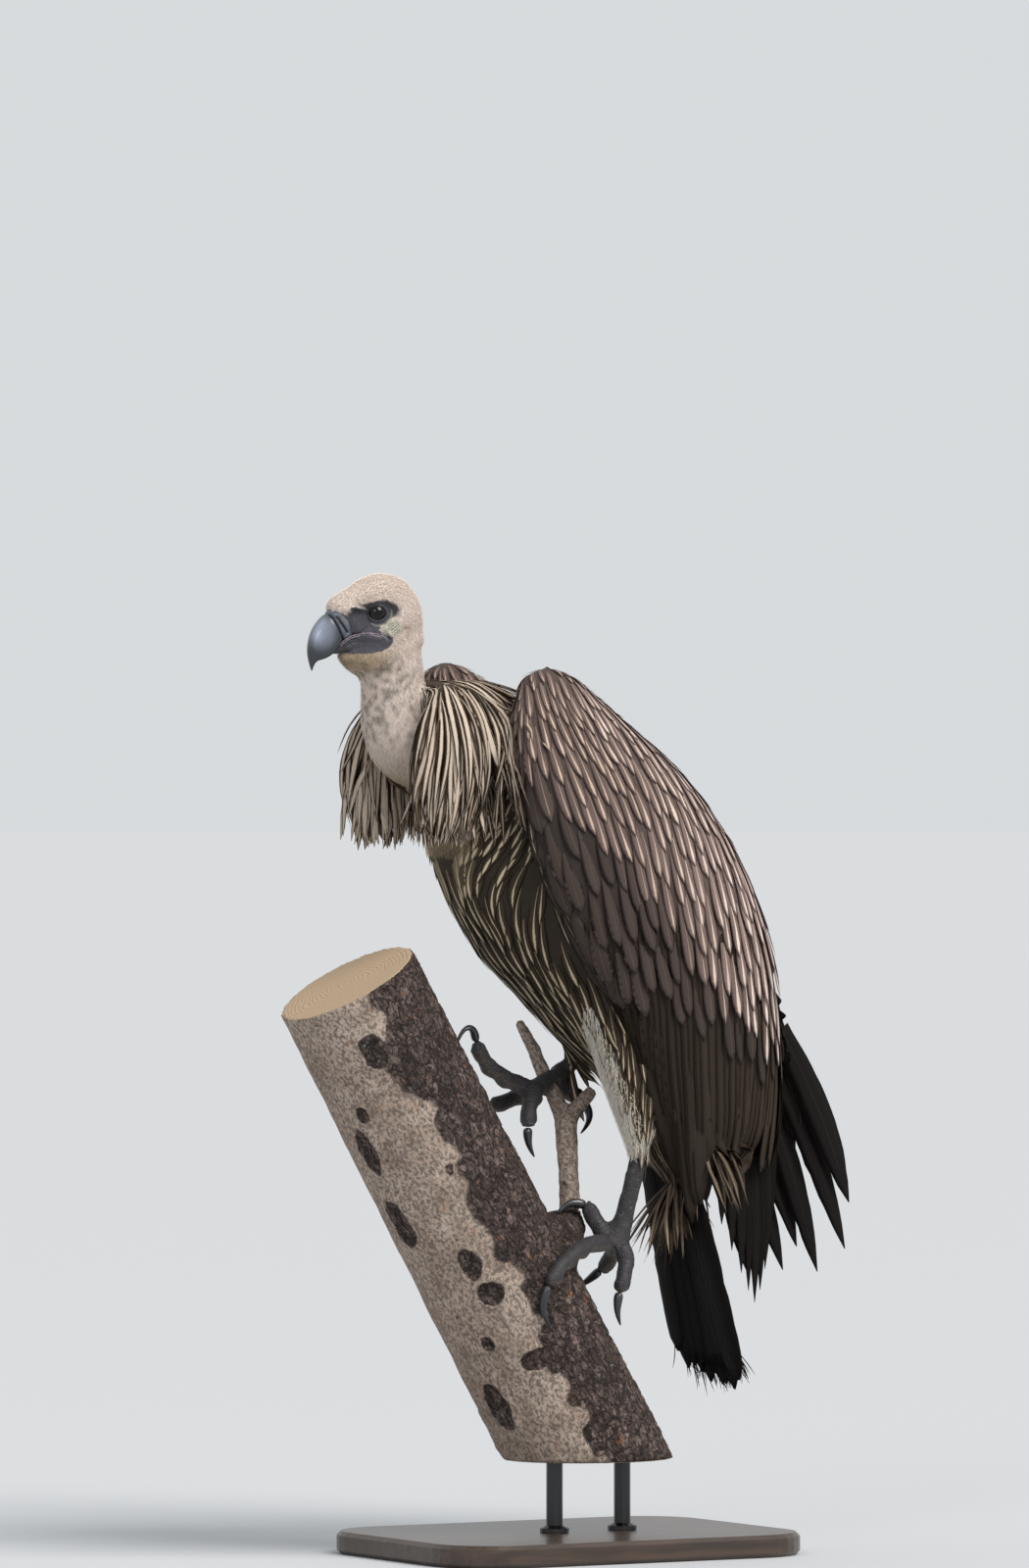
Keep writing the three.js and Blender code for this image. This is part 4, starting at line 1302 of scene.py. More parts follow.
def grow_coverts(side):
    def floor(p):
        return np.interp(chord(p), [0, 0.15, 0.4, 0.7, 1], [0.60, 0.59, 0.565, 0.53, 0.50])

    def wanted(p, on):
        return np.isin(on, WING[side]) & (p[:, 2] > floor(p))

    def gap(p):
        fine = np.interp(p[:, 2], [0.56, 0.70, 0.80, 0.86], [10.5, 9.6, 8.0, 5.4]) * MM
        return 12.5 * MM + (fine - 12.5 * MM) * wing_streaks(p)

    roots = Coat.skin.roots(wanted, gap, 71 + SIDES[side], rows=((0.3, 0, -0.95), 0.36))
    _, outward, _ = Coat.skin.nearest(roots)
    behind = (chord(roots) > 0.93) & (roots[:, 2] < 0.62)
    roots = roots[(SIDES[side] * outward[:, 1] > -0.2) & ~behind]
    streaked = wing_streaks(roots)
    size = gap(roots)
    length = size * (6.6 - 1.6 * (1 - streaked)) + 4 * MM
    half = size * 0.74
    tone = wing_colour(roots)
    back = smoothstep(0.3, 0.9, chord(roots))
    streak = 0.03 + streaked * (0.30 + 0.10 * back)
    mark = blend(each((0.58, 0.44, 0.34), roots), (0.80, 0.67, 0.60), back)
    mark = blend(tone * 1.7, mark, np.clip(streaked, 0.1, 1))
    loft = (1.7 + 3.8 * smoothstep(0.70, 0.60, roots[:, 2])) * MM
    twist = SIDES[side] * (0.09 + 0.11 * (1 - streaked))[:, None, None]
    scatter(f"coverts_{side}", "covert", "coverts", roots, WING_LIE, length, half, loft,
            10, VANE, COVERT, tone, 73 + SIDES[side], streak=streak, mark=mark, thick=0.14, camber=0.07,
            bow=0.12, rise=-0.2, twist=twist, varied=0.12)


def grow_wing_margin(side):
    """Small feathers over a wing's edges and the side of it that faces the body."""

    def wanted(p, on):
        return np.isin(on, WING[side]) & (p[:, 2] > 0.47) & ((chord(p) < 0.9) | (p[:, 2] > 0.64))

    def gap(p):
        return np.interp(p[:, 2], [0.50, 0.78, 0.86], [8.0, 6.4, 4.2]) * MM

    roots = Coat.skin.roots(wanted, gap, 75 + SIDES[side], rows=((0.3, 0, -0.95), 0.45))
    _, outward, _ = Coat.skin.nearest(roots)
    roots = roots[SIDES[side] * outward[:, 1] < 0.25]
    roots = roots[~covered(Coat.skin, roots, 0.025)]
    tone = blend(wing_colour(roots), BODY_BROWN, smoothstep(0.70, 0.60, roots[:, 2]))
    high = smoothstep(0.66, 0.76, roots[:, 2])
    size = gap(roots)
    scatter(f"wing_margin_{side}", "covert", "coverts", roots, WING_LIE, size * 4.6, size * 0.72,
            2.6 * MM, 8, VANE, LANCE, tone, 77 + SIDES[side], streak=0.06 + 0.3 * high,
            mark=(0.58, 0.46, 0.35), thick=0.16, camber=0.03, bow=0.2, rise=0.35, varied=0.10)


def grow_secondaries(side):
    """The long feathers of the folded wing's lower half, each laid over the one in front of it."""
    count = 27
    shares = np.linspace(0.02, 1.0, count)
    level = np.interp(shares, [0, 0.75, 1], [0.60, 0.60, 0.50])
    fore, aft = EDGES[side](level)
    outer = np.stack([fore + (aft - fore) * shares, np.full(count, SIDES[side] * 0.16), level], 1)
    place, _, _ = Coat.skin.nearest(outer)
    foot = np.interp(shares, [0, 0.25, 0.5, 0.7, 0.85, 1], [0.375, 0.350, 0.322, 0.332, 0.350, 0.375])

    def behind(p, on):
        return np.isin(on, WING[side]) & (np.abs(p[:, 2] - 0.535) < 0.008)

    rear = Coat.skin.roots(behind, 8 * MM, 79 + SIDES[side])
    _, outward, _ = Coat.skin.nearest(rear)
    aside = SIDES[side] * outward[:, 1]
    rear = rear[(outward[:, 0] > 0.25) & (aside > 0.15) & (aside < 0.85)]
    place = np.vstack([rear, place])
    foot = np.concatenate([np.full(len(rear), 0.385), foot])
    shares = np.concatenate([np.ones(len(rear)), shares])
    count = len(place)
    length = (place[:, 2] - foot) * 1.04
    tone = each(FLIGHT_BROWN, place) * (0.9 + 0.7 * shares[:, None])
    loft = (2.2 + 1.5 * shares) * MM
    scatter(f"secondaries_{side}", "flight", "flight_feathers", place, WING_LIE, length, 10.5 * MM, loft,
            18, VANE, LONG, tone, 81 + SIDES[side], streak=0.05, mark=tone * 1.5, thick=0.45, camber=0.05,
            ragged=0.02, bow=0.02, rise=0.5, twist=0.14 * SIDES[side], varied=0.10, stray=90)


# The folded wings' longest feathers: root and tip of each, front to back.
PRIMARIES = {
    "left": [
        ((0.104, -0.057, 0.420), (0.104, -0.058, 0.356)),
        ((0.116, -0.055, 0.425), (0.122, -0.057, 0.338)),
        ((0.128, -0.053, 0.430), (0.141, -0.056, 0.318)),
        ((0.139, -0.050, 0.436), (0.155, -0.053, 0.292)),
        ((0.150, -0.048, 0.442), (0.168, -0.050, 0.270)),
        ((0.161, -0.045, 0.448), (0.179, -0.046, 0.252)),
        ((0.172, -0.043, 0.452), (0.189, -0.042, 0.240)),
        ((0.183, -0.040, 0.456), (0.198, -0.038, 0.252)),
        ((0.194, -0.037, 0.460), (0.206, -0.035, 0.272)),
        ((0.205, -0.034, 0.464), (0.212, -0.032, 0.300)),
    ],
    "right": [
        ((0.182, 0.056, 0.440), (0.232, 0.044, 0.262)),
        ((0.197, 0.050, 0.455), (0.268, 0.040, 0.267)),
        ((0.212, 0.045, 0.470), (0.281, 0.036, 0.290)),
        ((0.226, 0.039, 0.485), (0.302, 0.032, 0.265)),
        ((0.241, 0.034, 0.495), (0.331, 0.028, 0.287)),
        ((0.256, 0.028, 0.505), (0.334, 0.026, 0.333)),
    ],
}
POINTED = [(0, 0.7), (0.3, 0.95), (0.55, 1.0), (0.75, 0.80), (0.9, 0.42), (1, 0.04)]
SQUARE = [(0, 0.6), (0.3, 0.9), (0.7, 1.0), (0.93, 0.85), (0.98, 0.5), (1, 0.12)]


def stiff_feathers(name, roots, tips, facing, half, bow, seed, knots, ragged=0.03):
    """Long stiff vanes drawn from root to tip, in a smooth bend, and turned to face a way."""
    roots, tips = np.array(roots, float), np.array(tips, float)
    stations, count = 20, len(roots)
    t = np.linspace(0, 1, stations)[None, :, None]
    spots = roots[:, None] + (tips - roots)[:, None] * t
    spots = spots + np.array(bow, float) * np.sin(math.pi * t)
    norms = np.broadcast_to(unit(np.array(facing, float)), spots.shape).copy()
    length = lengths(tips - roots)
    pick = np.random.default_rng(seed)
    widths = half * profile(stations, *knots) * pick.uniform(0.9, 1.1, (count, 1))
    black = each(FLIGHT_BLACK, roots) * pick.uniform(0.8, 1.3, (count, 1))
    tints = {"tone": black, "mark": black * 2.2, "streak": np.full(count, 0.05), "span": length}
    return make_strips(name, "flight", spots, norms, widths, 0.7 * MM, VANE,
                       Coat.skin.nearest(roots)[2], seed, 0.10, ragged, tints)


def grow_primaries(side):
    ends = PRIMARIES[side]
    step = np.array([0, SIDES[side] * 0.8 * MM, 0])
    roots = [np.array(a) - step * i for i, (a, _) in enumerate(ends)]
    tips = [np.array(b) - step * i for i, (_, b) in enumerate(ends)]
    facing = (-0.30, -0.95, 0.0) if side == "left" else (0.2, -0.98, 0.0)
    half = 6.4 * MM if side == "left" else 16 * MM
    bend = (0.006, 0, 0.002)
    piece = stiff_feathers(f"primaries_{side}", roots, tips, facing, half, bend, 91 + SIDES[side], POINTED)
    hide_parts(f"wing_{side}_primaries")


TAIL_FEATHERS = 12
WISPS = 90  # worn ends at the tail's tip


def grow_tail():
    count = TAIL_FEATHERS
    roots, tips = [], []
    for i in range(count):
        across = 2 * i / (count - 1) - 1
        depth = 1.6 * MM * abs(i - (count - 1) / 2)
        roots.append((0.108 - depth, 0.034 * across, 0.420))
        rise = 0.012 * across * across + 0.009 * across + 0.006 * math.sin(i * 2.4)
        tips.append((0.171 - 0.3 * rise - depth, 0.052 * across - 0.002, 0.163 + rise))
    facing = (-0.97, -0.1, -0.24)
    tail = stiff_feathers("tail_feathers", roots, tips, facing, 15 * MM, (0, 0, 0), 95, SQUARE, ragged=0.06)
    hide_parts("tail")
    pick = np.random.default_rng(97)
    share = pick.uniform(-1, 1, WISPS)
    start = np.stack([0.163 - 0.006 * np.abs(share), 0.055 * share - 0.002, 0.185 + 0.012 * share**2], 1)
    start += pick.normal(size=start.shape) * (3.0 * MM)
    back, aside = pick.normal(0.012, 0.006, WISPS), pick.normal(0, 0.004, WISPS)
    ends = start + np.stack([back, aside, -pick.uniform(0.018, 0.034, WISPS)], 1)
    stiff_feathers("tail_wisps", start, ends, facing, 0.8 * MM, (0.001, 0, 0), 98, POINTED)


# ---- bill, eyes and claws


def loft(rings, closed=False):
    """A smooth body through rings of points, capped at its ends unless it closes on itself."""
    bm = bmesh.new()
    loops = []
    for ring in rings:
        made = bmesh.ops.create_circle(bm, segments=len(ring), radius=MM)["verts"]
        for vert, place in zip(made, ring):
            vert.co = place
        loops.append(made)
    pairs = list(zip(loops[:-1], loops[1:])) + ([(loops[-1], loops[0])] if closed else [])
    for a, b in pairs:
        count = len(a)
        for i in range(count):
            bm.faces.new((a[i], a[(i + 1) % count], b[(i + 1) % count], b[i]))
    if not closed:
        bm.faces.new(loops[0])
        bm.faces.new(loops[-1])
    bmesh.ops.recalc_face_normals(bm, faces=bm.faces)
    return bm


def bill_ring(ridge, edge, half, count=28, hollow=0.10):
    """A section of the upper bill, from its ridge down to its cutting edges, as places in metres."""
    ridge, edge = np.array(ridge, float), np.array(edge, float)
    places = []
    for i in range(count):
        turn = 2 * math.pi * i / count
        up, side = math.cos(turn), math.sin(turn)
        if up >= -0.5:
            height = 0.42 + 0.58 * up if up > 0 else 0.42 + 0.84 * up
            width = half * abs(side) ** 0.85
        else:
            inward = abs(side) / 0.866
            height = hollow * (1 - inward)
            width = half * 0.86 * inward
        x, z = edge + (ridge - edge) * height
        places.append((x * MM, math.copysign(width, side) * MM, z * MM))
    return places


# Sections of the upper bill from inside the forehead to the hooked tip: ridge, edge (x, z) and half-width.
BILL_SECTIONS = [
    ((-244, 918), (-234, 889.6), 16.4),
    ((-252, 918.4), (-241, 888.4), 16.2),
    ((-259, 916.6), (-247, 886.6), 15.4),
    ((-266, 912.2), (-252.6, 884.2), 14),
    ((-268.6, 909), (-254.8, 883.6), 12.6),
    ((-270.2, 908.2), (-256.2, 881.6), 13.3),
    ((-274.8, 904.4), (-259.6, 876), 13),
    ((-280, 898.8), (-264.2, 870.4), 12),
    ((-284.4, 891.4), (-270.4, 866.2), 10.4),
    ((-287.2, 882.4), (-276.4, 864.2), 8.2),
    ((-288.2, 873.6), (-279.8, 863.6), 6),
    ((-287.6, 866.2), (-281.6, 861.2), 4),
    ((-286, 860), (-283, 857.8), 2.2),
    ((-284.2, 854), (-283.6, 853.6), 0.7),
]
CERE_ENDS_AT = 4


def smooth_piece(bm, levels):
    return evaluated(mesh_of(bm, "smooth"), "SUBSURF", levels=levels, render_levels=levels)


def press_slit(mesh, path, depth, reach):
    """Presses a narrow slit into both sides of a shape, along a path in its side view."""
    points = coordinates(mesh)
    away = line_distance(side_view(points), path)
    side = np.sign(points[:, 1]) * smoothstep(0.004, 0.007, np.abs(points[:, 1]))
    points[:, 1] -= side * depth * bump_at(away, 0, reach)
    set_coordinates(mesh, points)


def horn_material(name, dark, light, gloss, coat=0.3, highlight_spot=None):
    """Horn clouded between two colours, with a painted highlight: paler round a spot on its side, if one is
    given.
    """
    look = Finish(name, Roughness=gloss, Coat_Weight=coat, Coat_Roughness=0.2)
    streaks = look.grain(0.008, 4.0, 0.6, stretch=(0.35, 1.0, 0.25))
    fine = look.grain(0.0011, 3.0)
    cloud = look.remap(streaks, 0.36, 0.68)
    # Painted highlight: the horn turns paler towards the given spot, as the light's reflection would make it.
    if highlight_spot is not None:
        flat = look.node("Mapping", {"Vector": look.place(), "Scale": (1.0, 0.0, 0.8)}).outputs[0]
        gap = look.node("VectorMath", {0: flat, 1: (highlight_spot[0], 0.0, 0.8 * highlight_spot[1])}, operation="DISTANCE")
        wear_and_highlight = look.remap(gap.outputs["Value"], 0.019, 0.003)
        cloud = look.times(wear_and_highlight, look.times(cloud, 0.5, 0.6))
    # The slit attribute paints the nostril and the lower bill's creases near black: painted shade in these
    # hollows.
    slit = look.remap(look.number("slit"), 0.25, 0.8)
    look.colour(look.mixed(slit, look.mixed(cloud, dark, light), (0.004, 0.004, 0.005)))
    look.bumped(look.times(fine, 0.5, streaks), 0.18 * MM, 0.6)
    return look.material

# Places in the bill's side view.
NOSTRIL = [(-0.2622, 0.9050), (-0.2522, 0.8912)]
CERE_EDGE = [(-0.2662, 0.9075), (-0.2540, 0.8880)]
# Where the painted highlight on the bill's side is brightest.
BILL_HIGHLIGHT_SPOT = (-0.2780, 0.8925)
JAW_CREASE = [(-0.2555, 0.8765), (-0.2470, 0.8815), (-0.2300, 0.8835)]
JAW_TIP_CREASE = [(-0.2525, 0.8850), (-0.2475, 0.8780)]


def make_upper_bill():
    rings = [bill_ring(*section) for section in BILL_SECTIONS]
    horn = smooth_piece(loft(rings[CERE_ENDS_AT:]), 3)
    paint(horn, "slit", np.zeros(len(horn.vertices)))
    finish = horn_material("bill_horn", (0.020, 0.023, 0.028), (0.235, 0.262, 0.335), 0.33, highlight_spot=BILL_HIGHLIGHT_SPOT)
    tip = link("bill_upper_horn", horn, finish)
    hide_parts("bill_upper")

    cere = smooth_piece(loft(rings[: CERE_ENDS_AT + 1]), 3)
    press_slit(cere, NOSTRIL, 2.6 * MM, 1.15 * MM)
    press_slit(cere, CERE_EDGE, 0.7 * MM, 0.5 * MM)
    points = coordinates(cere)
    # Painted shade inside the nostril.
    paint(cere, "slit", bump_at(line_distance(side_view(points), NOSTRIL), 0, 1.3 * MM))
    finish = horn_material("cere_skin", (0.060, 0.066, 0.084), (0.150, 0.160, 0.195), 0.42, 0.15)
    root = link("bill_cere", cere, finish)
    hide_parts("cere")


# Sections of the lower bill from its tip to the corner of the mouth: x, top, bottom and half-width.
LOWER_SECTIONS = [
    (-264.5, 873.6, 871.6, 2.5),
    (-262, 876, 870.6, 7),
    (-257, 882, 870, 10.6),
    (-250, 886.6, 870.6, 13),
    (-242, 888.4, 871, 15.8),
    (-233, 888.8, 869.6, 18.6),
    (-225, 887.6, 869.6, 20.2),
    (-218.5, 884.8, 872, 19.5),
    (-213, 881.6, 876.6, 16),
]


def make_lower_bill():
    """The lower bill: a shallow trough whose edges fit under the upper one."""
    rings = []
    for x, top, bottom, half in LOWER_SECTIONS:
        turns = [2 * math.pi * i / 20 for i in range(20)]
        middle = bottom + 0.78 * (top - bottom)
        rings.append([
            (x * MM, half * math.copysign(abs(math.sin(a)) ** 0.8, math.sin(a)) * MM,
             (middle + math.cos(a) * (top - middle if math.cos(a) > 0 else middle - bottom)) * MM)
            for a in turns
        ])
    mesh = smooth_piece(loft(rings), 3)
    points = coordinates(mesh)
    flat = side_view(points)
    creases = bump_at(line_distance(flat, JAW_CREASE), 0, 0.6 * MM)
    creases += bump_at(line_distance(flat, JAW_TIP_CREASE), 0, 0.5 * MM)
    outer = smoothstep(0.004, 0.008, np.abs(points[:, 1]))
    points[:, 1] -= np.sign(points[:, 1]) * 0.7 * MM * creases * outer
    set_coordinates(mesh, points)
    # Painted shade along the lower bill's creases.
    paint(mesh, "slit", 0.25 + 0.4 * creases)
    finish = horn_material("lower_horn", (0.030, 0.029, 0.036), (0.085, 0.078, 0.095), 0.5, 0.1)
    piece = link("bill_lower_horn", mesh, finish)
    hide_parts("bill_lower")


def round_ring(heart, up, out, radius, count=10):
    """Places round a point, in the plane of two directions."""
    turns = [2 * math.pi * i / count for i in range(count)]
    return [heart + radius * (up * math.cos(a) + out * math.sin(a)) for a in turns]


def skin_reach(x, z, sign):
    """How far out to a side the skin reaches at a place of the face's side view, in millimetres."""
    hit = Coat.skin.shape.tree.ray_cast((x * MM, sign * 0.1, z * MM), (0, -sign, 0))[0]
    return abs(hit[1]) / MM if hit is not None and abs(hit[1]) < 0.04 else 0.0


def make_lips():
    """The two fine fleshy rims along each side of the mouth, from under the cere to its corner."""
    look = Finish("lip_skin", Roughness=0.45, Specular_IOR_Level=0.4)
    rough = look.grain(0.0016, 3.0)
    look.colour(look.mixed(look.remap(rough, 0.35, 0.65), (0.09, 0.075, 0.095), (0.26, 0.20, 0.235)))
    look.bumped(rough, 0.3 * MM, 0.6)
    path = [(-260, 877.5, 11.9), (-254, 883.6, 13.4), (-247, 887.2, 15.4), (-240, 889, 17.4),
            (-232, 889.4, 20), (-225, 888, 22.6), (-219, 885.4, 24), (-214, 882, 24.2)]
    for side, sign in SIDES.items():
        out_at = [max(out, skin_reach(x, z, sign)) for x, z, out in path]
        for level, offset in (("upper", 0.95), ("lower", -0.75)):
            rings = []
            for i, (x, z, out) in enumerate(path):
                before, after = path[max(i - 1, 0)], path[min(i + 1, len(path) - 1)]
                along = unit(np.array([after[0] - before[0], 0.0, after[1] - before[1]]))
                across = np.array([-along[2], 0.0, along[0]])
                thick = 0.85 * math.sin(math.pi * (i + 0.35) / (len(path) - 0.3)) ** 0.5
                heart = np.array([x, sign * (out_at[i] - 0.3), z]) + across * offset
                rings.append(round_ring(heart * MM, across, np.array([0, 1.0, 0]), thick * MM))
            lip = link(f"lip_{level}_{side}", smooth_piece(loft(rings), 2), look.material)


def make_eye(side):
    centre, gaze = EYES[side], GAZE[side]
    bm = bmesh.new()
    bmesh.ops.create_uvsphere(bm, u_segments=64, v_segments=40, radius=EYE_RADIUS)
    turn = Vector((0, 0, 1)).rotation_difference(Vector(gaze)).to_matrix()
    bmesh.ops.rotate(bm, verts=bm.verts, matrix=turn)
    bmesh.ops.translate(bm, verts=bm.verts, vec=centre)
    mesh = mesh_of(bm, "eye")
    ray = unit(coordinates(mesh) - centre)
    paint(mesh, "ring", np.arccos(np.clip(ray @ gaze, -1, 1)))
    look = Finish(f"eye_{side}_glass", Roughness=0.05, Specular_IOR_Level=0.3)
    ring = look.number("ring")
    iris = look.mixed(look.remap(ring, 0.36, 0.42), (0.001, 0.001, 0.001), (0.007, 0.004, 0.003))
    edge = look.mixed(look.remap(ring, 0.72, 0.82), iris, (0.004, 0.003, 0.003))
    look.colour(edge)
    eye = link(f"eyeball_{side}", mesh, look.material)
    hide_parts(f"eye_{side}")

    forward, up = lid_frame(gaze)
    rings = []
    for i in range(64):
        around = 2 * math.pi * i / 64
        opening = float(lid_opening(np.array(around)))
        aside = forward * math.cos(around) + up * math.sin(around)
        ray = gaze * math.cos(opening) + aside * math.sin(opening)
        out = gaze * -math.sin(opening) + aside * math.cos(opening)
        rings.append(round_ring(centre + ray * (EYE_RADIUS + 0.35 * MM), ray, out, 0.5 * MM))
    lid = mesh_of(loft(rings, closed=True), "lid")
    look = Finish(f"lid_{side}_skin", Roughness=0.5, Coat_Weight=0.08)
    height = look.node("SeparateXYZ", {0: look.place()}).outputs[2]
    low = look.remap(height, centre[2] - 0.001, centre[2] - 0.006)
    look.colour(look.mixed(low, (0.007, 0.007, 0.009), (0.060, 0.056, 0.056)))
    piece = link(f"eyelid_{side}", lid, look.material)


def make_claws():
    look = Finish("claw_horn", Roughness=0.34, Coat_Weight=0.25, Coat_Roughness=0.15)
    streak = look.grain(0.004, 3.0, stretch=(1.0, 1.0, 0.3))
    look.colour(look.mixed(streak, (0.006, 0.006, 0.007), (0.030, 0.031, 0.036)))
    look.bumped(streak, 0.1 * MM, 0.4)
    for side in SIDES:
        for number in TOES:
            node_name = f"claw_{side}_{number}"
            bm = cad_copy(node_name)
            toe = shape_of_nodes([f"toe_{side}_{number}"])[0]
            for vert in bm.verts:
                away = (toe.tree.find_nearest(vert.co)[0] - vert.co).length
                vert.co += vert.normal * (0.25 + 1.9 * math.exp(-away / 0.010)) * MM
            bmesh.ops.join_triangles(bm, faces=bm.faces, angle_face_threshold=0.7, angle_shape_threshold=3.1)
            claw = link(f"talon_{side}_{number}", smooth_piece(bm, 2), look.material)
            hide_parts(node_name)


# ---- perch and stand

TRUNK_TOP = np.array([-0.254, -0.015, 0.556])
TRUNK_FOOT = np.array([0.009, -0.015, 0.100])
TRUNK_RADIUS = 0.073
TRUNK_WAY = unit(TRUNK_TOP - TRUNK_FOOT)
TRUNK_OVER = np.array([TRUNK_WAY[2], 0.0, -TRUNK_WAY[0]])

# Scars of old twigs: how far up the trunk, how far round from its left side, half-length and half-width.
KNOTS = [
    (0.473, -30, 0.017, 0.013), (0.418, -63, 0.008, 0.006), (0.378, -75, 0.024, 0.011),
    (0.299, -79, 0.026, 0.013), (0.242, -38, 0.017, 0.010), (0.206, -34, 0.012, 0.012),
    (0.127, -24, 0.010, 0.018), (0.095, -72, 0.028, 0.012), (0.030, -6, 0.022, 0.018),
    (0.335, -20, 0.006, 0.004), (0.285, -8, 0.008, 0.005), (0.160, -55, 0.008, 0.006),
    (0.175, 12, 0.012, 0.008), (0.125, 25, 0.010, 0.008), (0.380, 12, 0.013, 0.008),
    (0.330, 120, 0.020, 0.012), (0.160, 160, 0.022, 0.015), (0.430, -150, 0.018, 0.012),
    (0.060, -120, 0.016, 0.012), (0.250, -130, 0.010, 0.007),
]


def trunk_place(points):
    """How far up the trunk, how far round it from its left side and how far out each point is."""
    off = points - TRUNK_FOOT
    up = off @ TRUNK_WAY
    off = off - up[:, None] * TRUNK_WAY
    round_it = np.arctan2(off @ TRUNK_OVER, -off[:, 1])
    return up, round_it, lengths(off)


def cracks(points, size):
    """0 in the cracks between plates of bark and 1 on them."""
    local = points @ np.stack([TRUNK_OVER, [0, 1, 0], TRUNK_WAY * 0.6], 1) / size
    near = [noise.voronoi(Vector(p))[0] for p in local]
    return np.array([smoothstep(0.02, 0.22, d[1] - d[0]) for d in near])


def bark_material(name, pale, dark):
    """Smooth pale bark with pores and rust, and dark cracked bark where plate is high."""
    look = Finish(name, Roughness=0.88, Specular_IOR_Level=0.2)
    coords = look.place()
    tilt = look.node("Mapping", {"Vector": coords, "Rotation": (0, math.radians(30), 0)}).outputs[0]
    fine = look.grain(0.0030, 6.0, 0.75, vector=tilt, stretch=(1.0, 1.0, 0.7))
    broad = look.grain(0.035, 3.0, vector=tilt)
    speck = look.grain(0.007, 5.0, 0.8, vector=tilt)

    def tinted(share, base, colour, factor):
        """The base with its share of a colour that is made lighter or darker."""
        return look.mixed(share, base, [min(1, c * factor) for c in colour])

    wear_and_highlight = [c * f for c, f in zip(pale, (0.70, 0.66, 0.63))]
    colour = look.mixed(look.remap(broad, 0.35, 0.7), pale, wear_and_highlight)
    colour = tinted(look.remap(fine, 0.55, 0.44, 0.0, 0.85), colour, pale, 0.26)
    colour = tinted(look.remap(fine, 0.60, 0.72, 0.0, 0.5), colour, pale, 1.6)
    pores = look.node("TexVoronoi", {"Vector": tilt, "Scale": 105.0, "Randomness": 1.0}).outputs["Distance"]
    pore = look.times(look.remap(pores, 0.26, 0.14), look.remap(speck, 0.5, 0.58))
    colour = tinted(pore, colour, dark, 1.2)

    grown = look.node("Mapping", {"Vector": tilt, "Scale": (1.0, 1.0, 0.55)}).outputs[0]
    noisy = look.node("TexNoise", {"Vector": grown, "Scale": 120.0, "Detail": 3.0}).outputs["Color"]
    centred = look.node("VectorMath", {0: noisy, 1: (0.5, 0.5, 0.5)}, operation="SUBTRACT").outputs[0]
    shift = look.node("VectorMath", {0: centred, "Scale": 0.016}, operation="SCALE").outputs[0]
    bent = look.node("VectorMath", {0: shift, 1: grown}, operation="ADD").outputs[0]
    cells = look.node("TexVoronoi", {"Vector": bent, "Scale": 115.0}, feature="DISTANCE_TO_EDGE").outputs[0]
    flakes = look.node("TexVoronoi", {"Vector": bent, "Scale": 115.0}).outputs["Color"]
    flake = look.node("SeparateXYZ", {0: flakes}).outputs[0]
    gap = look.times(look.remap(cells, 0.16, 0.0), look.remap(speck, 0.36, 0.56))
    bark = look.mixed(flake, [c * 0.8 for c in dark], [c * 3.0 for c in dark])
    bark = tinted(look.remap(speck, 0.40, 0.62, 0.75, 0.0), bark, dark, 0.6)
    bark = tinted(look.remap(fine, 0.55, 0.40, 0.0, 0.9), bark, dark, 0.22)
    bark = tinted(look.remap(fine, 0.60, 0.70, 0.0, 0.6), bark, dark, 5.0)
    bark = tinted(gap, bark, dark, 0.25)
    ragged = look.times(look.calc("ADD", speck, fine), 1.3, look.calc("ADD", look.number("plate"), -1.3))
    share = look.remap(ragged, 0.35, 0.60)
    colour = look.mixed(share, colour, bark)

    rust = look.times(look.remap(look.grain(0.011, 6.0, 0.8, vector=coords), 0.60, 0.68), 0.75)
    colour = look.mixed(rust, colour, (0.36, 0.13, 0.04))
    lichen = look.times(look.remap(look.grain(0.014, 5.0, 0.75, vector=tilt), 0.66, 0.71), 0.7)
    colour = look.mixed(lichen, colour, (0.30, 0.34, 0.26))
    end = look.number("end")
    rings = look.calc("SINE", look.times(look.number("ring"), 1500.0, look.times(broad, 26.0)))
    wood = look.mixed(look.remap(rings, -0.2, 1.0), (0.40, 0.30, 0.20), (0.30, 0.21, 0.13))
    look.colour(look.mixed(look.remap(end, 0.45, 0.55), colour, wood))
    rough = look.times(look.calc("SUBTRACT", 1.0, gap), look.times(share, 0.9))
    height = look.calc("ADD", look.times(fine, 1.4), rough)
    look.bumped(look.times(height, look.remap(end, 0.6, 0.4)), 1.6 * MM, 0.9)
    return look.material


def lay_bark(mesh, points, push, plate, end, ring):
    """Pushes the surface out in millimetres, and marks its cracked plates, its sawn ends and their rings."""
    set_coordinates(mesh, points)
    set_coordinates(mesh, points + vertex_normals(mesh) * (push * MM)[:, None])
    for name, values in (("plate", plate), ("end", end), ("ring", ring)):
        paint(mesh, name, values)


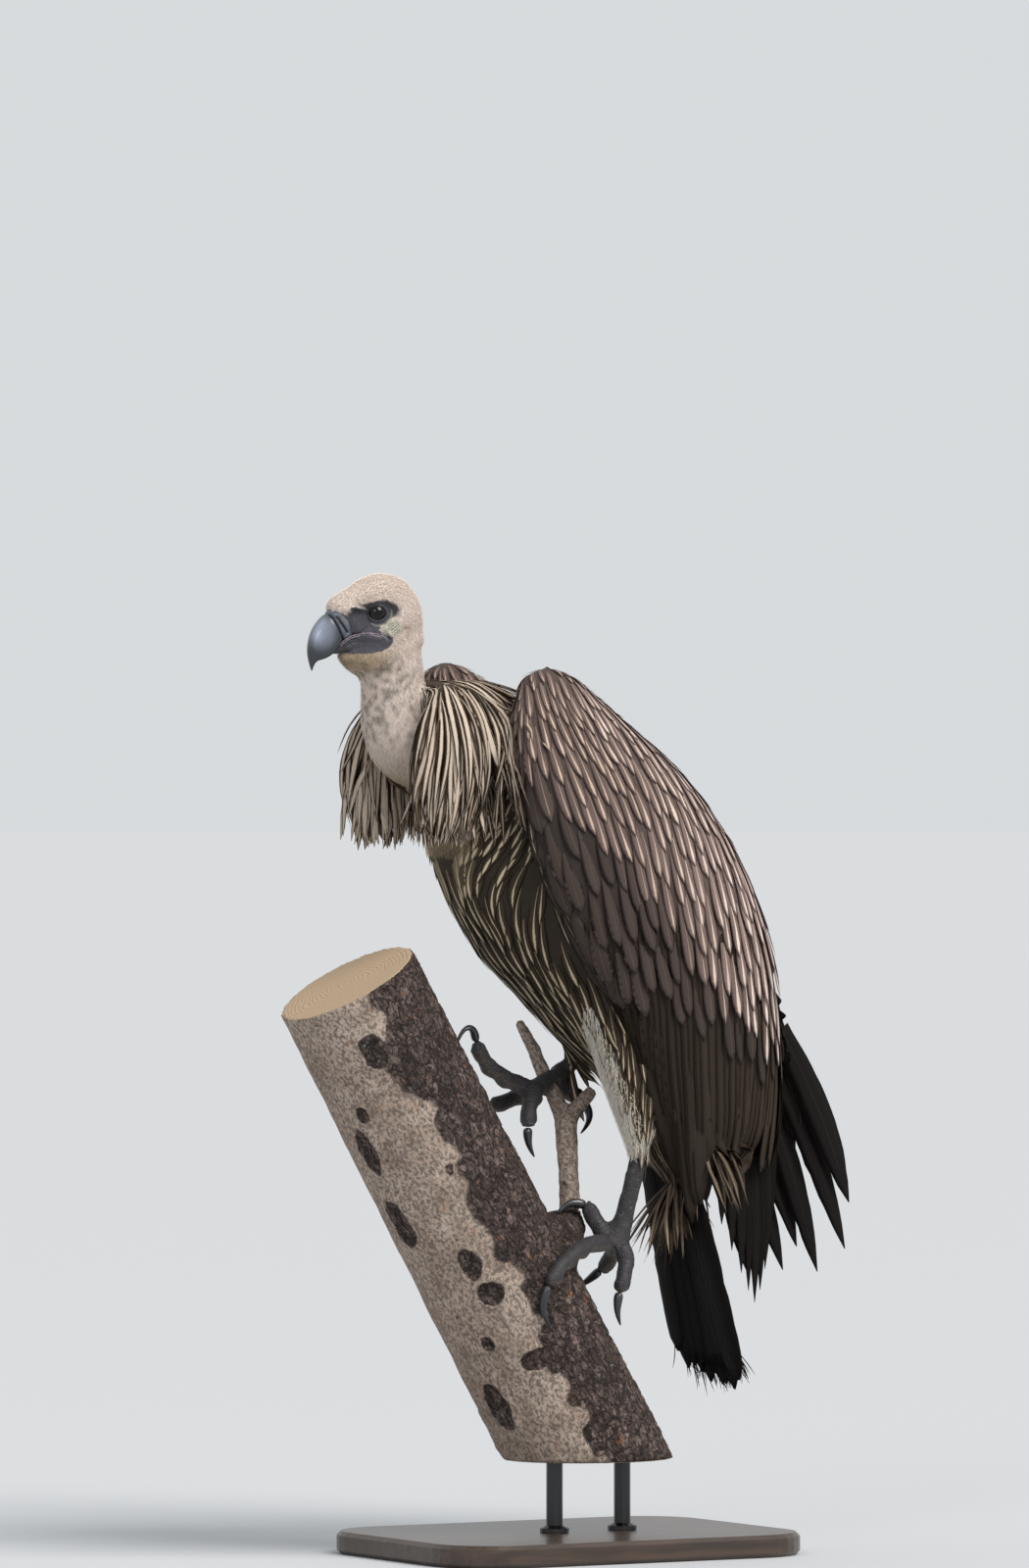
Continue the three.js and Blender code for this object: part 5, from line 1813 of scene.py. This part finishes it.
def make_perch(perch):
    mesh = remeshed(cad_copy("perch_trunk"), "trunk", perch.voxel)
    points = coordinates(mesh)
    pairs = edges_of(mesh)
    normals = vertex_normals(mesh)
    up, turn, out = trunk_place(points)
    end = np.maximum(smoothstep(0.75, 0.9, normals @ TRUNK_WAY), smoothstep(0.8, 0.95, -normals[:, 2]))
    end *= ((up > 0.50) | (points[:, 2] < 0.100)) & (out < 0.074 + 0.03 * (up < 0.05))
    points = spread(points, pairs, 6, np.where(end > 0.3, 0.0, 0.5))
    angle = np.degrees(turn)
    edge = -14 + 16 * wobble(np.stack([up, out * 0, out * 0], 1), 0.09, 3.0) + 14 * wobble(points, 0.02, 4.0)
    band = smoothstep(edge - 8, edge + 8, angle) * smoothstep(118, 92, angle)
    knot = np.zeros(len(points))
    rim = np.zeros(len(points))
    for height, around, half_long, half_wide in KNOTS:
        across = np.radians((angle - around + 180) % 360 - 180) * TRUNK_RADIUS / half_wide
        far = np.hypot((up - height) / half_long, across) * (1 + 0.25 * wobble(points, 0.012, height * 90))
        knot = np.maximum(knot, smoothstep(1.15, 0.85, far))
        rim = np.maximum(rim, bump_at(far, 1.15, 0.28))
    plate = np.maximum(band, knot)
    bend = np.stack([wobble(points, 0.009, seed) for seed in (11.0, 12.0, 13.0)], 1)
    crack = cracks(points + 0.004 * bend, 0.0095)
    push = 0.9 * wobble(points, 0.045, 1.0) + 0.45 * wobble(points, 0.012, 2.0)
    push += plate * (1.1 * crack - 0.8 + 0.9 * wobble(points, 0.006, 14.0))
    push += 1.3 * rim - 0.9 * bump_at(knot, 1, 0.3)
    lay_bark(mesh, points, push * (1 - end) - 0.5, plate, end, out)
    finish = bark_material("trunk_bark", perch.pale_bark, perch.dark_bark)
    trunk = link("trunk", mesh, finish)
    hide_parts("perch_trunk")

    mesh = remeshed(cad_copy("perch_branch"), "branch", 0.8 * perch.voxel)
    points = spread(coordinates(mesh), edges_of(mesh), 6)
    push = 0.9 * wobble(points, 0.012, 5.0) + 0.5 * wobble(points, 0.005, 6.0) - 0.3
    plain = np.zeros(len(points))
    lay_bark(mesh, points, push, smoothstep(0.0, 0.9, wobble(points, 0.02, 8.0)) * 0.6, plain, plain)
    finish = bark_material("branch_bark", [c * 0.95 for c in perch.pale_bark], perch.dark_bark)
    branch = link("branch", mesh, finish)
    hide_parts("perch_branch")


def finish_stand(perch):
    wood = Finish("stand_wood", Roughness=0.38, Coat_Weight=0.25, Coat_Roughness=0.2)
    lines = wood.grain(0.010, 5.0, 0.6, stretch=(0.12, 1.0, 1.0))
    dark = [c * 0.5 for c in perch.stand_wood]
    wood.colour(wood.mixed(wood.remap(lines, 0.35, 0.65), dark, perch.stand_wood))
    wood.bumped(lines, 0.1 * MM, 0.3)
    steel = Finish("stand_steel", Roughness=0.34, Metallic=1.0)
    steel.colour((0.06, 0.06, 0.062))
    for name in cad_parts:
        if name.startswith("stand_"):
            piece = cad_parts[name]
            piece.data.materials.clear()
            piece.data.materials.append(wood.material if name == "stand_base" else steel.material)


# ---- skin piece and studio


def make_skin(sizes):
    mesh, cad, owners = grow_skin_mesh(sizes.skin_voxel, sizes.head_cuts, sizes.foot_cuts)
    on = sink_skin(mesh, cad, owners)
    shape_face(mesh, on)
    along = shape_feet(mesh, on)
    holder = link("skin", mesh, skin_material())
    bpy.context.view_layer.objects.active = holder
    holder.select_set(True)
    bpy.ops.object.mode_set(mode="EDIT")
    bpy.ops.mesh.select_all(action="SELECT")
    bpy.ops.uv.smart_project(angle_limit=math.radians(66), island_margin=0.002)
    bpy.ops.object.mode_set(mode="OBJECT")
    mesh.uv_layers.active.name = "OFBake"
    points, normals = coordinates(mesh), vertex_normals(mesh)
    paint(mesh, "tone", skin_colour(points, normals, on))
    paint(mesh, "foot", np.isin(on, FEET).astype(float))
    bare = np.maximum(bare_face(points), pale_folds(points)) * (on == "head") * (np.abs(points[:, 1]) > 0.005)
    paint(mesh, "bare", bare)
    paint(mesh, "pale", pale_folds(points) * (on == "head") * (np.abs(points[:, 1]) > 0.01))
    around = np.minimum.reduce([lengths(points - centre) for centre in EYES.values()])
    paint(mesh, "fold", around)
    paint(mesh, "toe", along)
    paint(mesh, "scute", (along > 0) * smoothstep(0.10, 0.07, along) * smoothstep(-0.1, 0.45, normals[:, 2]))
    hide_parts(*FLESH)
    Coat.skin = Skin(mesh, on)


CAMERA_AT = np.array([-0.045, 0.026, 0.746])
CAMERA_AZIMUTH = -30
CAMERA_FAR = 10.0


KEY_FROM = (0.95, -2.85, 3.9)
WINDOW_FROM = (-3.9, -3.3, 3.4)


def lamp(name, kind, place, power, colour, **settings):
    """A light that faces the middle of the bird."""
    light = bpy.data.lights.new(name, kind)
    light.energy, light.color = power, colour
    for key, value in settings.items():
        setattr(light, key, value)
    holder = bpy.data.objects.new(name, light)
    holder.location = place
    holder.rotation_euler = (Vector((0, 0, 0.6)) - Vector(place)).to_track_quat("-Z", "Y").to_euler()
    bpy.context.scene.collection.objects.link(holder)


def make_studio(studio):
    bm = bmesh.new()
    bmesh.ops.create_circle(bm, cap_ends=True, segments=128, radius=150.0)
    mesh = mesh_of(bm, "studio_floor")
    paper = Finish("studio_paper", Roughness=0.95)
    paper.colour(studio.floor_colour)
    mesh.materials.append(paper.material)
    floor = bpy.data.objects.new("studio_floor", mesh)
    bpy.context.scene.collection.objects.link(floor)

    world = bpy.data.worlds.new("studio_air")
    world.use_nodes = True
    world.node_tree.nodes["Background"].inputs["Color"].default_value = (0.95, 0.98, 1.0, 1)
    world.node_tree.nodes["Background"].inputs["Strength"].default_value = studio.air
    bpy.context.scene.world = world
    lamp("key", "SUN", KEY_FROM, studio.key, (1.0, 0.975, 0.94), angle=math.radians(35))
    lamp("window", "AREA", WINDOW_FROM, studio.window, (0.90, 0.95, 1.0), shape="DISK", size=1.8)

    camera = bpy.data.cameras.new("camera")
    camera.lens = studio.lens
    camera.sensor_width = 36
    holder = bpy.data.objects.new("camera", camera)
    turn = math.radians(CAMERA_AZIMUTH)
    back = Vector((math.sin(turn), -math.cos(turn), 0))
    holder.location = Vector(CAMERA_AT) + back * CAMERA_FAR
    holder.rotation_euler = (-back).to_track_quat("-Z", "Y").to_euler()
    bpy.context.scene.collection.objects.link(holder)
    bpy.context.scene.camera = holder
    bpy.context.scene.view_settings.view_transform = "Standard"


# ---- settings


class VULTURE_PG_coat(bpy.types.PropertyGroup):
    """How fine the skin and its plumage are."""

    skin_voxel: FloatProperty(
        name="Skin cell", description="Size of the skin's faces on the body",
        default=0.0052, min=0.003, unit="LENGTH",
    )
    head_cuts: IntProperty(
        name="Head cuts", description="Extra cuts in each face of the head",
        default=3, min=1,
    )
    foot_cuts: IntProperty(
        name="Foot cuts", description="Extra cuts in each face of the feet",
        default=1, min=0,
    )
    head_down: FloatProperty(
        name="Head down", description="Space between tufts of down on the head",
        default=0.00075, unit="LENGTH",
    )
    neck_down: FloatProperty(
        name="Neck down", description="Space between tufts of down on the neck",
        default=0.00115, unit="LENGTH",
    )
    ruff: FloatProperty(
        name="Ruff", description="Space between the ruff's feathers",
        default=0.0066, unit="LENGTH",
    )
    body: FloatProperty(
        name="Body", description="Space between the body's feathers",
        default=0.0100, unit="LENGTH",
    )


class VULTURE_PG_perch(bpy.types.PropertyGroup):
    """The perch's bark and the stand."""

    voxel: FloatProperty(
        name="Bark cell", description="Size of the bark's faces",
        default=0.0026, unit="LENGTH",
    )
    pale_bark: FloatVectorProperty(
        name="Pale bark", description="Colour of the smooth bark",
        subtype="COLOR", default=(0.47, 0.375, 0.31,
    )
    )
    dark_bark: FloatVectorProperty(
        name="Dark bark", description="Colour of the cracked bark",
        subtype="COLOR", default=(0.075, 0.055, 0.048,
    )
    )
    stand_wood: FloatVectorProperty(
        name="Stand", description="Colour of the stand's base",
        subtype="COLOR", default=(0.055, 0.032, 0.020,
    )
    )


class VULTURE_PG_studio(bpy.types.PropertyGroup):
    """Floor, lights and camera."""

    floor_colour: FloatVectorProperty(
        name="Floor", description="Colour of the studio's floor",
        subtype="COLOR", default=(0.475, 0.485, 0.50,
    )
    )
    key: FloatProperty(name="Key light", description="Strength of the main light", default=3.2, min=0.0)
    window: FloatProperty(
        name="Window light", description="Power of the side light",
        default=45.0, unit="POWER",
    )
    air: FloatProperty(name="Air", description="Strength of the light from all around", default=0.72, min=0.0)
    lens: FloatProperty(name="Lens", description="Focal length", default=236.8, subtype="DISTANCE_CAMERA")


GROUPS = {
    "vulture_coat": VULTURE_PG_coat,
    "vulture_perch": VULTURE_PG_perch,
    "vulture_studio": VULTURE_PG_studio,
}


# ---- operators


class VULTURE_OT_skin(bpy.types.Operator):
    """Grow one closed skin over the flesh, with the face and feet modelled on it"""

    bl_idname = "vulture.skin"
    bl_label = "Skin"

    def execute(self, context):
        make_skin(context.scene.vulture_coat)
        return {"FINISHED"}


class VULTURE_OT_down(bpy.types.Operator):
    """Grow the short down of the head and neck"""

    bl_idname = "vulture.down"
    bl_label = "Down"

    def execute(self, context):
        grow_head_down(context.scene.vulture_coat.head_down)
        grow_face_bristles()
        grow_neck_down(context.scene.vulture_coat.neck_down)
        return {"FINISHED"}


class VULTURE_OT_ruff(bpy.types.Operator):
    """Grow the two lobes of the ruff round the neck's foot"""

    bl_idname = "vulture.ruff"
    bl_label = "Ruff"

    def execute(self, context):
        for side in SIDES:
            grow_ruff(side, context.scene.vulture_coat.ruff)
        return {"FINISHED"}


class VULTURE_OT_body(bpy.types.Operator):
    """Grow the feathers of the breast, belly, vent and thighs"""

    bl_idname = "vulture.body"
    bl_label = "Body"

    def execute(self, context):
        grow_body(context.scene.vulture_coat.body)
        grow_undertail()
        for side in SIDES:
            grow_thigh(side)
        return {"FINISHED"}


class VULTURE_OT_wings(bpy.types.Operator):
    """Grow the folded wings' coverts and their long feathers"""

    bl_idname = "vulture.wings"
    bl_label = "Wings"

    def execute(self, context):
        for side in SIDES:
            grow_coverts(side)
            grow_wing_margin(side)
            grow_secondaries(side)
            grow_primaries(side)
        return {"FINISHED"}


class VULTURE_OT_tail(bpy.types.Operator):
    """Grow the tail"""

    bl_idname = "vulture.tail"
    bl_label = "Tail"

    def execute(self, context):
        grow_tail()
        return {"FINISHED"}


class VULTURE_OT_bill(bpy.types.Operator):
    """Model the hooked bill and its cere"""

    bl_idname = "vulture.bill"
    bl_label = "Bill"

    def execute(self, context):
        make_upper_bill()
        make_lower_bill()
        make_lips()
        return {"FINISHED"}


class VULTURE_OT_eyes(bpy.types.Operator):
    """Model the eyes and the rims of their lids"""

    bl_idname = "vulture.eyes"
    bl_label = "Eyes"

    def execute(self, context):
        for side in SIDES:
            make_eye(side)
        return {"FINISHED"}


class VULTURE_OT_claws(bpy.types.Operator):
    """Model the claws"""

    bl_idname = "vulture.claws"
    bl_label = "Claws"

    def execute(self, context):
        make_claws()
        return {"FINISHED"}


class VULTURE_OT_perch(bpy.types.Operator):
    """Model the perch's bark and finish its stand"""

    bl_idname = "vulture.perch"
    bl_label = "Perch"

    def execute(self, context):
        make_perch(context.scene.vulture_perch)
        finish_stand(context.scene.vulture_perch)
        return {"FINISHED"}


class VULTURE_OT_studio(bpy.types.Operator):
    """Set up the floor, the lights and the camera"""

    bl_idname = "vulture.studio"
    bl_label = "Studio"

    def execute(self, context):
        make_studio(context.scene.vulture_studio)
        return {"FINISHED"}


OPERATORS = [
    VULTURE_OT_skin, VULTURE_OT_down, VULTURE_OT_ruff, VULTURE_OT_body, VULTURE_OT_wings, VULTURE_OT_tail,
    VULTURE_OT_bill, VULTURE_OT_eyes, VULTURE_OT_claws, VULTURE_OT_perch, VULTURE_OT_studio,
]


class VULTURE_PT_panel(bpy.types.Panel):
    """Lists the settings and the steps in order"""

    bl_idname = "VULTURE_PT_panel"
    bl_label = "Vulture"
    bl_space_type = "VIEW_3D"
    bl_region_type = "UI"
    bl_category = "Vulture"

    def draw(self, context):
        for name in GROUPS:
            box = self.layout.box()
            group = getattr(context.scene, name)
            for key in group.__annotations__:
                box.prop(group, key)
        for step in OPERATORS:
            self.layout.operator(step.bl_idname)


def register():
    for cls in (*GROUPS.values(), *OPERATORS, VULTURE_PT_panel):
        bpy.utils.register_class(cls)
    for name, group in GROUPS.items():
        setattr(bpy.types.Scene, name, PointerProperty(type=group))


def unregister():
    for name in GROUPS:
        delattr(bpy.types.Scene, name)
    for cls in reversed((*GROUPS.values(), *OPERATORS, VULTURE_PT_panel)):
        bpy.utils.unregister_class(cls)


def main():
    register()
    bpy.ops.vulture.skin()
    bpy.ops.vulture.down()
    bpy.ops.vulture.ruff()
    bpy.ops.vulture.body()
    bpy.ops.vulture.wings()
    bpy.ops.vulture.tail()
    bpy.ops.vulture.bill()
    bpy.ops.vulture.eyes()
    bpy.ops.vulture.claws()
    bpy.ops.vulture.perch()
    bpy.ops.vulture.studio()


if __name__ == "__main__":
    main()
